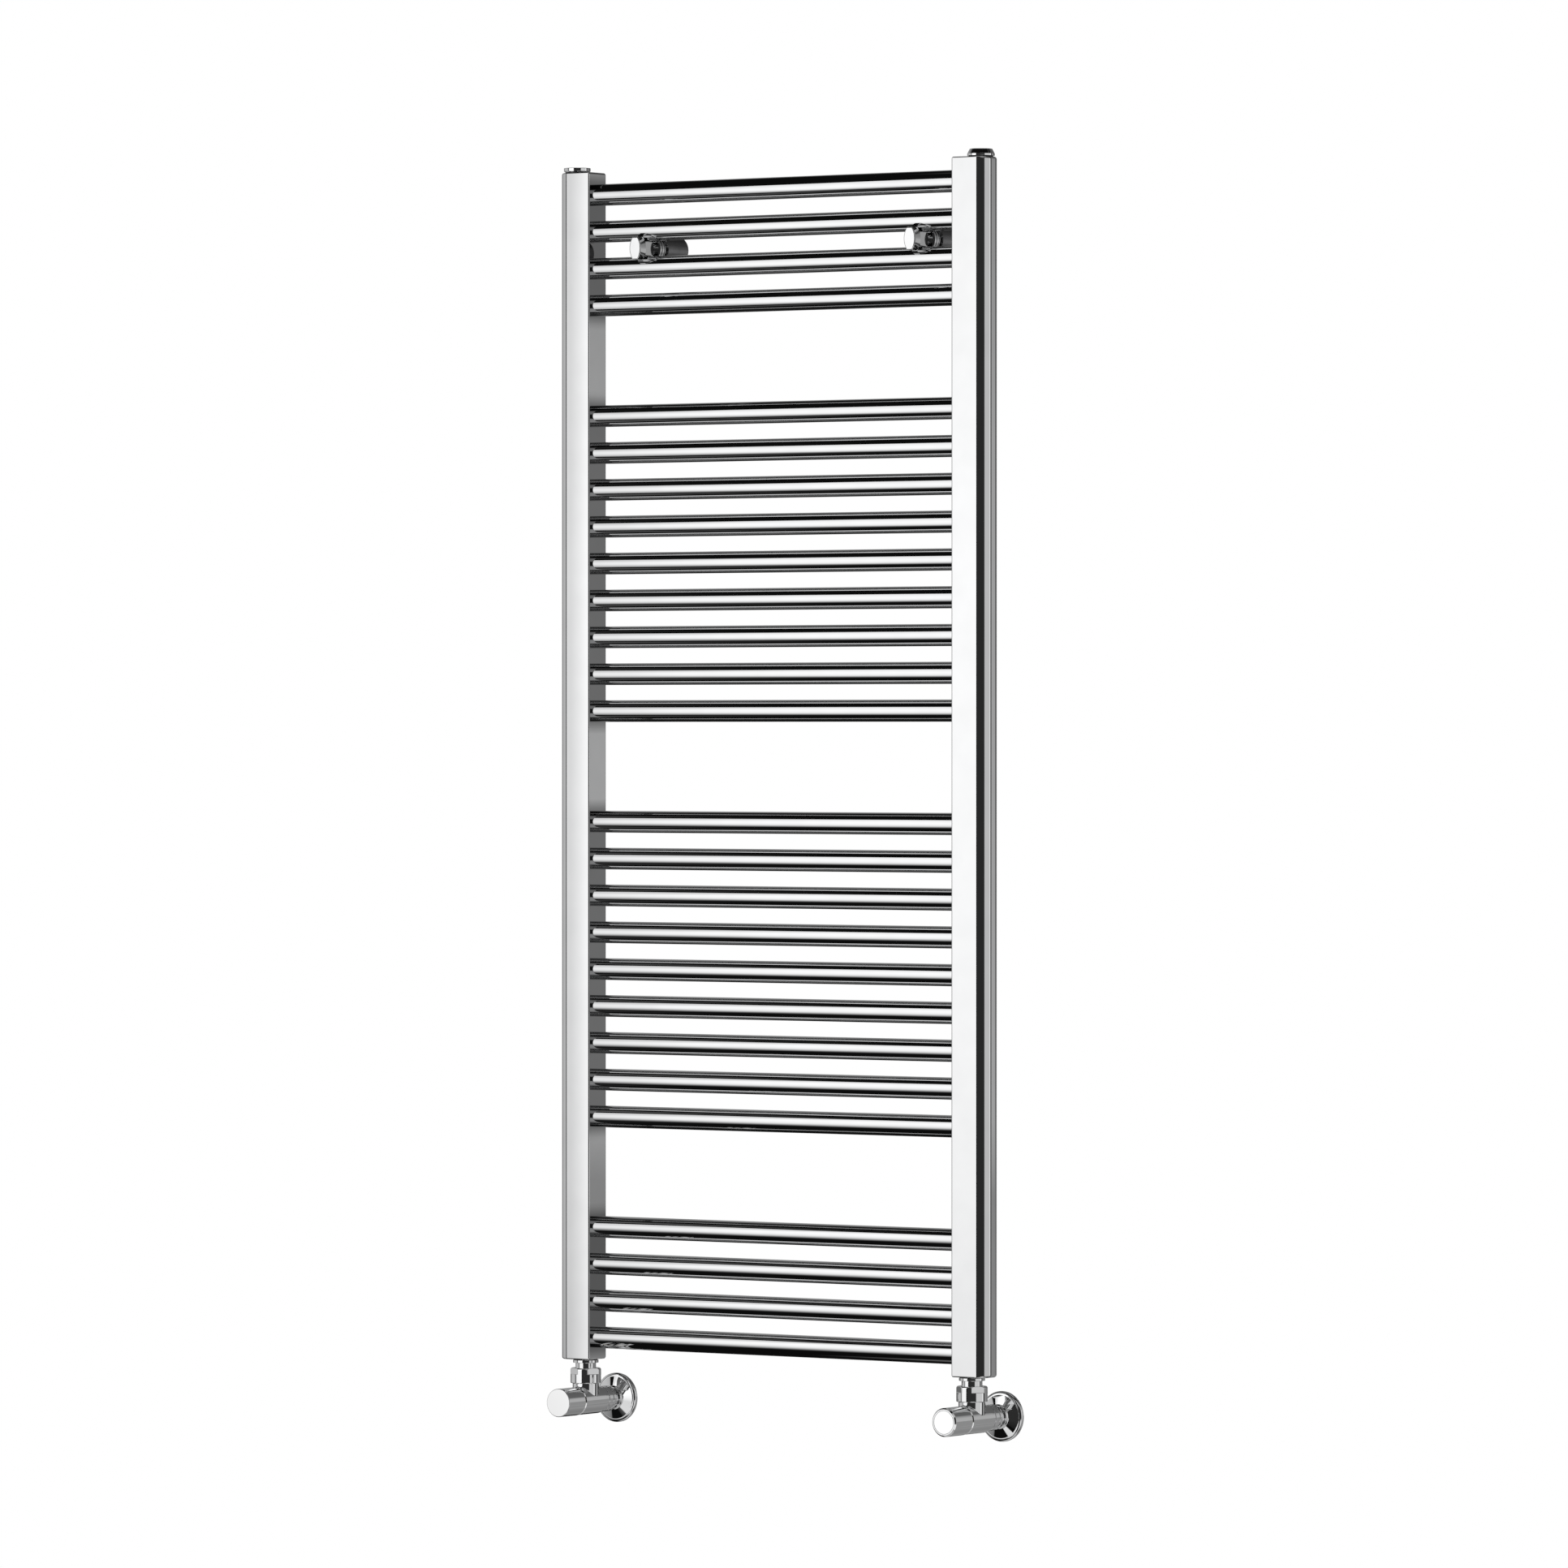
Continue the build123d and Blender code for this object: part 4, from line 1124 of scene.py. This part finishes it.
@dataclass
class Valve:
    """Angle valve under one header: tailpiece, body, inner pieces and rosette."""

    side: Side
    wardrobe: Wardrobe
    collar_radius: float = 12.9
    collar_height: float = 2.8
    neck_radius: float = 10.35
    neck_length: float = 8.2
    flange_radius: float = 11.6
    waterway: float = 6.5
    thread_radius: float = 10.2
    thread_length: float = 9.0
    seal_height: float = 0.8
    rosette_radius: float = 25.0
    rosette_face: float = 21.5
    rosette_hole: float = 10.0
    rosette_shell: float = 1.4
    rosette_neck: float = 2.0
    rosette_bend: float = 1.6
    rosette_slope: float = 19.0
    rosette_lip: float = 2.4
    lip_steps: int = 16

    def build(self) -> None:
        """Build the pieces that both valves share and dress the inner ones."""
        label = self.side.label
        self.wardrobe.place(self._tailpiece(), FITTING_CHROME, "rail", f"tailpiece_{label}")
        self.wardrobe.place(self._rosette(), FITTING_CHROME, f"rosette_cover_{label}", f"rosette_{label}")
        self.wardrobe.keep(f"valve_body_{label}", FITTING_CHROME)
        for part in ("bonnet", "spindle", "valve_plug"):
            self.wardrobe.keep(f"{part}_{label}", VALVE_BRASS)

    def _tailpiece(self) -> Piece:
        """Turn the tailpiece with its collar, neck and flange.

        Returns:
            The new piece.
        """
        node = f"tailpiece_{self.side.label}"
        low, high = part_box(node)
        centre = centre_of(node)
        collar = -self.seal_height - self.collar_height
        neck = collar - self.neck_length
        end = (low.z - high.z) / MM + self.thread_length
        outline = Outline(
            (
                Corner(self.waterway, self.thread_length),
                Corner(self.thread_radius, self.thread_length, Edge.MILD),
                Corner(self.thread_radius, -self.seal_height),
                Corner(self.collar_radius, -self.seal_height, Edge.SLIGHT),
                Corner(self.collar_radius, collar, Edge.EASED),
                Corner(self.neck_radius, collar, Edge.EASED),
                Corner(self.neck_radius, neck, Edge.EASED),
                Corner(self.flange_radius, neck),
                Corner(self.flange_radius, end),
                Corner(self.waterway, end),
            )
        )
        origin = (centre.x, centre.y, high.z - self.thread_length * MM)
        return outline.piece(f"tailpiece_turned_{self.side.label}", TurnAxis.UP, origin)

    def _rosette(self) -> Piece:
        """Turn the wall rosette with a short neck, a sloping face and a rolled lip.

        Returns:
            The new piece.
        """
        node = f"rosette_{self.side.label}"
        low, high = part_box(node)
        centre = centre_of(node)
        depth = (high.y - low.y) / MM
        rise = math.tan(math.radians(self.rosette_slope))
        neck = self.rosette_hole + self.rosette_shell
        foot = self.rosette_neck + self.rosette_bend * math.tan(math.radians(90 - self.rosette_slope) / 2)
        crease = foot + (self.rosette_face - neck) * rise
        lip = crease + self.rosette_lip
        behind = crease + self.rosette_shell
        corners = [
            Corner(self.rosette_hole, 0, Edge.EASED),
            Corner(neck, 0, Edge.SOFT),
            Corner(neck, foot, self.rosette_bend),
            Corner(self.rosette_face, crease, Edge.EASED),
        ]
        rim = self.rosette_radius - self.rosette_face
        for step in range(1, self.lip_steps + 1):
            angle = math.radians(90 * step / self.lip_steps)
            radius = self.rosette_face + rim * math.sin(angle)
            corners.append(Corner(radius, lip - self.rosette_lip * math.cos(angle), None))
        corners += [
            Corner(self.rosette_radius, depth, Edge.SLIGHT),
            Corner(self.rosette_radius - self.rosette_shell, depth),
            Corner(self.rosette_radius - self.rosette_shell, lip),
            Corner(self.rosette_face, behind),
            Corner(self.rosette_hole, behind - (self.rosette_face - self.rosette_hole) * rise),
        ]
        name = f"rosette_turned_{self.side.label}"
        return Outline(corners).piece(name, TurnAxis.WALL, (centre.x, low.y, centre.z), Round.FINE)


@dataclass
class ValvePair:
    """Both valves with the nuts that share a node, the lockshield cap and the handwheel."""

    wardrobe: Wardrobe
    knob_radius: float = 14.25
    cap_wall: float = 2.15
    cap_front: float = 2.5
    wheel_skirt: float = 2.8
    wheel_front: float = 8.5
    wheel_chamfer: float = 1.4
    hub_radius: float = 6.0
    hub_end: float = 16.0
    hub_bore: float = 3.6
    inset_radius: float = 11.5
    inset_fit: float = 0.1
    inset_thickness: float = 1.5
    pipe_nut_radius: float = 13.0
    pipe_nut_length: float = 17.6
    pipe_grooves: tuple[float, ...] = (4.9, 12.3)
    pipe_groove: float = 0.7
    pipe_groove_width: float = 1.2
    pipe_bore: float = 7.6
    pipe_thread: float = 10.1
    pipe_thread_depth: float = 7.05
    pipe_tail: float = 9.8
    nut_turns: dict[Side, float] = field(default_factory=lambda: {Side.LEFT: -22.0, Side.RIGHT: -33.0})

    def build(self) -> None:
        """Build both valves with their nuts, the lockshield cap and the handwheel."""
        for side in Side:
            Valve(side, self.wardrobe).build()
        self.wardrobe.place(self._union_nuts(), FITTING_CHROME, "rail", "union_nuts")
        self.wardrobe.place(self._pipe_nuts(), FITTING_CHROME, "rail", "pipe_nuts")
        cap = self._cap()
        self.wardrobe.place(cap, FITTING_CHROME, "lockshield_cover", "lockshield_cap")
        # The cap's flat front and the handwheel's disc take the brighter chrome copy, a painted highlight.
        self.wardrobe.face(cap, FACE_CHROME_PAINTED_HIGHLIGHT)
        self.wardrobe.place(self._handwheel(), FITTING_CHROME, "handwheel_knob", "handwheel")
        self.wardrobe.place(self._disc(), FACE_CHROME_PAINTED_HIGHLIGHT, "handwheel_knob", "handwheel_disc")

    def _union_nuts(self) -> Piece:
        """Make both union nuts, in one piece as in their node.

        Returns:
            The new piece.
        """
        low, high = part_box("union_nuts")
        skin = Skin()
        for side in Side:
            centre = centre_of(f"tailpiece_{side.label}")
            UnionNut(self.nut_turns[side]).add(skin, low.z, high.z, centre.x, centre.y)
        return skin.make("union_nuts_turned")

    def _pipe_nuts(self) -> Piece:
        """Turn both ringed pipe nuts with their tails, in one piece as in their node.

        Returns:
            The new piece.
        """
        low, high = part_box("pipe_nuts")
        end = (high.y - low.y) / MM
        root = self.pipe_nut_radius - self.pipe_groove
        corners = [Corner(self.pipe_thread, 0), Corner(self.pipe_nut_radius, 0, Edge.SOFT)]
        for groove in self.pipe_grooves:
            corners += [
                Corner(self.pipe_nut_radius, groove, Edge.SLIGHT),
                Corner(root, groove),
                Corner(root, groove + self.pipe_groove_width),
                Corner(self.pipe_nut_radius, groove + self.pipe_groove_width, Edge.SLIGHT),
            ]
        corners += [
            Corner(self.pipe_nut_radius, self.pipe_nut_length, Edge.SOFT),
            Corner(self.pipe_tail, self.pipe_nut_length, Edge.FINE),
            Corner(self.pipe_tail, end, Edge.EASED),
            Corner(self.pipe_bore, end),
            Corner(self.pipe_bore, self.pipe_thread_depth),
            Corner(self.pipe_thread, self.pipe_thread_depth),
        ]
        skin = Skin()
        for side in Side:
            centre = centre_of(f"rosette_{side.label}")
            Outline(corners).turn(skin, TurnAxis.WALL, (centre.x, low.y, centre.z))
        return skin.make("pipe_nuts_turned")

    @staticmethod
    def _front_turned(name: str, node: str, corners: Sequence[Corner]) -> Piece:
        """Turn a piece that sits on a valve's front.

        Args:
            name: Name of the piece.
            node: Node whose front is where the reach is 0.
            corners: Its outline, from the axis round to the axis.

        Returns:
            The new piece.
        """
        centre = centre_of(node)
        origin = (centre.x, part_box(node)[0].y, centre.z)
        return Outline(corners, closed=False).piece(name, TurnAxis.WALL, origin, Round.FINE)

    def _cap(self) -> Piece:
        """Turn the plain lockshield cap with a softly rounded rim.

        Returns:
            The new piece.
        """
        low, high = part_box("lockshield_cap")
        length = (high.y - low.y) / MM
        cavity = self.knob_radius - self.cap_wall
        corners = (
            Corner(0, 0),
            Corner(self.knob_radius, 0, Edge.FULL),
            Corner(self.knob_radius, length, Edge.EASED),
            Corner(cavity, length, Edge.EASED),
            Corner(cavity, self.cap_front, Edge.SOFT),
            Corner(0, self.cap_front),
        )
        return self._front_turned("lockshield_cap_turned", "lockshield_cap", corners)

    def _handwheel(self) -> Piece:
        """Turn the handwheel with a chamfered front and a recess for its disc.

        Returns:
            The new piece.
        """
        low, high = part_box("handwheel")
        length = (high.y - low.y) / MM
        inner = self.knob_radius - self.wheel_skirt
        recess = self.inset_radius + self.inset_fit
        corners = (
            Corner(0, self.inset_thickness),
            Corner(recess, self.inset_thickness, Edge.TIGHT),
            Corner(recess, 0, Edge.CRISP),
            Corner(self.knob_radius - self.wheel_chamfer, 0, Edge.EASED),
            Corner(self.knob_radius, self.wheel_chamfer, Edge.MILD),
            Corner(self.knob_radius, length, Edge.EASED),
            Corner(inner, length, Edge.EASED),
            Corner(inner, self.wheel_front, Edge.SOFT),
            Corner(self.hub_radius, self.wheel_front, Edge.MILD),
            Corner(self.hub_radius, self.hub_end, Edge.FINE),
            Corner(self.hub_bore, self.hub_end),
            Corner(self.hub_bore, self.wheel_front),
            Corner(0, self.wheel_front),
        )
        return self._front_turned("handwheel_turned", "handwheel", corners)

    def _disc(self) -> Piece:
        """Turn the disc that is set into the handwheel's front.

        Returns:
            The new piece.
        """
        corners = (
            Corner(0, 0),
            Corner(self.inset_radius, 0, Edge.EASED),
            Corner(self.inset_radius, self.inset_thickness),
            Corner(0, self.inset_thickness),
        )
        return self._front_turned("handwheel_disc_turned", "handwheel", corners)


@dataclass(frozen=True)
class Sheet:
    """One sheet of the painted surround.

    Its sides are bearings in degrees from the front, to the right. Its levels are pairs of elevation in
    degrees and brightness, from the foot up.
    """

    start: float
    end: float
    levels: Stops
    soft: float = 1.5


# Above and below all round, then the front right, the right side, the back and the left side.
SHEETS = (
    Sheet(-10, 370, ((-68, 0.5), (-60, 0.0), (62, 0.0), (70, 0.35))),
    Sheet(0, 64, ((-40, 0.0), (-20, 0.024), (20, 0.024), (40, 0.0)), 1.0),
    Sheet(
        30,
        62,
        ((-50, 0.0), (-42, 0.9), (-22, 0.9), (-15, 0.0), (18, 0.0), (26, 0.6), (42, 0.5), (52, 0.0)),
        4.0,
    ),
    Sheet(4, 66, ((-68, 0.0), (-60, 0.5), (-48, 0.45), (-40, 0.0)), 4.0),
    Sheet(66, 112, ((-50, 0.0), (-38, 0.4), (-10, 0.67), (12, 0.67), (38, 0.2), (50, 0.0)), 3.0),
    Sheet(112, 124, ((-50, 0.0), (-38, 0.4), (-10, 0.91), (12, 0.91), (38, 0.2), (50, 0.0)), 1.5),
    Sheet(
        136,
        151,
        ((-55, 0.12), (-30, 0.3), (-7.6, 0.3), (-6.6, 0.47), (6, 0.46), (12, 0.32), (34, 0.12), (48, 0.0)),
        2.0,
    ),
    Sheet(151, 206, ((-55, 0.12), (-34, 0.32), (-10, 0.2), (0, 0.15), (34, 0.11), (48, 0.0)), 3.0),
    Sheet(
        206,
        262,
        ((-46, 0.0), (-30, 0.02), (-13, 0.05), (-10, 0.29), (8, 0.33), (34, 0.28), (46, 0.0)),
        3.0,
    ),
    Sheet(262, 306, ((-46, 0.0), (-36, 0.24), (-8, 0.6), (8, 0.6), (36, 0.24), (46, 0.0)), 1.5),
)


@dataclass
class Studio:
    """Camera, lights, floor and the sheets and softbox that show in the chrome.

    The softbox's levels are pairs of place and brightness, across it and up it. Its inner strip, at the
    right, keeps a least brightness down to its foot.
    """

    lens: float = 217.914
    sensor: float = 36.0
    sight: float = 100.0
    yaw: float = 34.874
    pitch: float = -0.327
    stand: Triple = (5.41565, -7.82016, -0.48441)
    middle: Triple = (-0.006, -0.055, -0.55)
    sky_tone: Triple = (0.95, 0.97, 1.0)
    sky_strength: float = 0.7
    floor_height: float = -1.46
    floor_radius: float = 1.3
    floor_thickness: float = 0.001
    floor_fade: float = 0.45
    floor_dark: Triple = (0.90, 0.90, 0.905)
    floor_light: Triple = (0.93, 0.93, 0.93)
    floor_grain: float = 9.0
    floor_detail: float = 3.0
    key_place: Triple = (-1.5, -2.5, 3.0)
    key_power: float = 60.0
    key_size: float = 2.5
    surround_radius: float = 4.5
    surround_rings: int = 41
    dark: float = 0.005
    sheets: tuple[Sheet, ...] = SHEETS
    box_left: float = -2.12
    box_right: float = -0.10
    box_foot: float = -2.7
    box_top: float = 1.16
    box_front: float = -2.055
    box_strength: float = 1.38
    box_across: Stops = ((-1.8, 0.72), (-1.63, 0.88), (-1.55, 0.97), (-1.42, 1.0))
    box_upright: Stops = (
        (-2.7, 0.0),
        (-2.3, 0.1),
        (-1.95, 0.32),
        (-1.5, 0.66),
        (-1.27, 0.82),
        (-1.05, 0.9),
        (-0.8, 0.955),
        (-0.28, 1.0),
        (0.2, 0.94),
        (0.8, 0.85),
        (1.16, 0.62),
    )
    strip_start: float = -0.8
    strip_end: float = -0.65
    strip_level: float = 0.6

    def build(self) -> None:
        """Set up the whole studio."""
        self._camera()
        self._world()
        self._floor()
        self._key()
        self._surround()
        self._softbox()
        bpy.context.scene.view_settings.view_transform = "Standard"

    @staticmethod
    def _aimed(data: bpy.types.ID, place: Triple, ahead: Vector) -> Piece:
        """Put a camera or lamp in its place and point it.

        Args:
            data: Camera or lamp data.
            place: Where it stands.
            ahead: Direction that it looks.

        Returns:
            The new object.
        """
        made = bpy.data.objects.new(data.name, data)
        turn = ahead.to_track_quat("-Z", "Y").to_matrix().to_4x4()
        made.matrix_world = Matrix.Translation(place) @ turn
        bpy.context.scene.collection.objects.link(made)
        return made

    def _camera(self) -> None:
        """Camera at the photograph's viewing angle."""
        data = bpy.data.cameras.new("camera")
        data.lens = self.lens
        data.sensor_width = self.sensor
        data.clip_end = self.sight
        yaw, pitch = math.radians(self.yaw), math.radians(self.pitch)
        level = math.cos(pitch)
        ahead = Vector((-math.sin(yaw) * level, math.cos(yaw) * level, math.sin(pitch)))
        bpy.context.scene.camera = self._aimed(data, self.stand, ahead)

    def _world(self) -> None:
        """White backdrop for the camera, metal and glass, soft even light for everything else."""
        world = bpy.data.worlds.new("white_backdrop")
        world.use_nodes = True
        bpy.context.scene.world = world
        sky = NodeMaker(world.node_tree)
        path = sky.node("ShaderNodeLightPath").outputs
        shown = sky.math("MAXIMUM", path["Is Camera Ray"], path["Is Glossy Ray"])
        shown = sky.math("MAXIMUM", shown, path["Is Transmission Ray"])
        soft = sky.node(
            "ShaderNodeBackground", {"Color": (*self.sky_tone, 1), "Strength": self.sky_strength}
        )
        white = sky.node("ShaderNodeBackground", {"Color": (1, 1, 1, 1)})
        mix = sky.node("ShaderNodeMixShader", {"Fac": shown, 1: soft.outputs[0], 2: white.outputs[0]})
        sky.node("ShaderNodeOutputWorld", {"Surface": mix.outputs[0]})

    def _floor(self) -> None:
        """Round pale floor that fades into the backdrop at its rim."""
        reach = self.floor_radius / MM
        corners = (Corner(0, 0), Corner(reach, 0), Corner(0, -self.floor_thickness / MM))
        outline = Outline(corners, closed=False)
        middle = (*self.middle[:2], self.floor_height)
        floor = outline.piece("floor", TurnAxis.UP, middle, Round.COARSE)
        shader = Shader("pale_floor")
        point = shader.node("ShaderNodeNewGeometry").outputs["Position"]
        apart = shader.node("ShaderNodeVectorMath", {0: point, 1: middle}, operation="DISTANCE")
        fade = shader.rise(apart.outputs["Value"], self.floor_fade * self.floor_radius, self.floor_radius)
        clouds = shader.noise(self.floor_grain, self.floor_detail)
        paint = shader.tint(clouds, self.floor_dark, self.floor_light)
        matt = shader.node("ShaderNodeBsdfDiffuse", {"Color": paint})
        clear = shader.node("ShaderNodeBsdfTransparent")
        mix = shader.node("ShaderNodeMixShader", {"Fac": fade, 1: matt.outputs[0], 2: clear.outputs[0]})
        floor.data.materials.append(shader.surface(mix.outputs[0]))
        floor.visible_glossy = False
        floor.visible_diffuse = False

    def _key(self) -> None:
        """Large soft lamp above, which gives the floor its shadow."""
        data = bpy.data.lights.new("key", "AREA")
        data.energy = self.key_power
        data.size = self.key_size
        lamp = self._aimed(data, self.key_place, Vector(self.middle) - Vector(self.key_place))
        lamp.visible_glossy = False

    @staticmethod
    def _glow(card: Piece, shader: Shader, strength: Socket) -> None:
        """Let a card glow where metal reflects it, and show nowhere else.

        Args:
            card: Object that glows.
            shader: Shader of its material.
            strength: How bright each point is.
        """
        glow = shader.node("ShaderNodeEmission", {"Strength": strength})
        card.data.materials.append(shader.surface(glow.outputs[0]))
        shader.material.cycles.emission_sampling = "NONE"
        card.visible_camera = False
        card.visible_diffuse = False
        card.visible_shadow = False
        card.visible_transmission = False

    def _surround(self) -> None:
        """Painted surround: dark, with pale sheets."""
        reach = self.surround_radius / MM
        slopes = np.linspace(-math.pi / 2, math.pi / 2, self.surround_rings)
        corners = [Corner(reach * math.cos(slope), reach * math.sin(slope), None) for slope in slopes]
        dome = Outline(corners, closed=False).piece("surround", TurnAxis.UP, self.middle, Round.COARSE)
        shader = Shader("surround_paint")
        x, y, z = shader.place(self.middle)
        bearing = shader.math("DEGREES", shader.math("ARCTAN2", x, shader.math("MULTIPLY", y, -1.0)))
        bearing = shader.math("FLOORED_MODULO", bearing, 360.0)
        steep = shader.math("DIVIDE", z, self.surround_radius)
        elevation = shader.math("DEGREES", shader.math("ARCSINE", steep))
        total: float | Socket = self.dark
        for sheet in self.sheets:
            start = shader.rise(bearing, sheet.start - sheet.soft, sheet.start + sheet.soft)
            end = shader.rise(bearing, sheet.end - sheet.soft, sheet.end + sheet.soft)
            tall = shader.steps(elevation, -90.0, 90.0, sheet.levels)
            band = shader.math("MULTIPLY", shader.math("SUBTRACT", start, end), tall)
            total = shader.math("ADD", total, band)
        self._glow(dome, shader, total)

    def _softbox(self) -> None:
        """Tall softbox in front on the left, a little brighter to the right and fading at its foot."""
        left, right, front = self.box_left, self.box_right, self.box_front
        foot, top = self.box_foot, self.box_top
        mesh = bpy.data.meshes.new("softbox")
        rim = [(left, front, foot), (right, front, foot), (right, front, top), (left, front, top)]
        mesh.from_pydata(rim, [], [(3, 2, 1, 0)])
        box = bpy.data.objects.new("softbox", mesh)
        bpy.context.scene.collection.objects.link(box)
        shader = Shader("softbox_cloth")
        x, _, z = shader.place()
        across = shader.steps(x, left, right, self.box_across)
        upright = shader.steps(z, foot, top, self.box_upright)
        strip = shader.math("MULTIPLY", shader.rise(x, self.strip_start, self.strip_end), self.strip_level)
        level = shader.math("MULTIPLY", across, shader.math("MAXIMUM", upright, strip))
        self._glow(box, shader, shader.math("MULTIPLY", level, self.box_strength))


def main() -> None:
    """Build every sub-assembly and then the studio."""
    logging.basicConfig(level=logging.INFO, format="%(message)s")
    wardrobe = Wardrobe()
    Rail(wardrobe).build()
    Brackets(wardrobe).build()
    ValvePair(wardrobe).build()
    Studio().build()


if __name__ == "__main__":
    main()
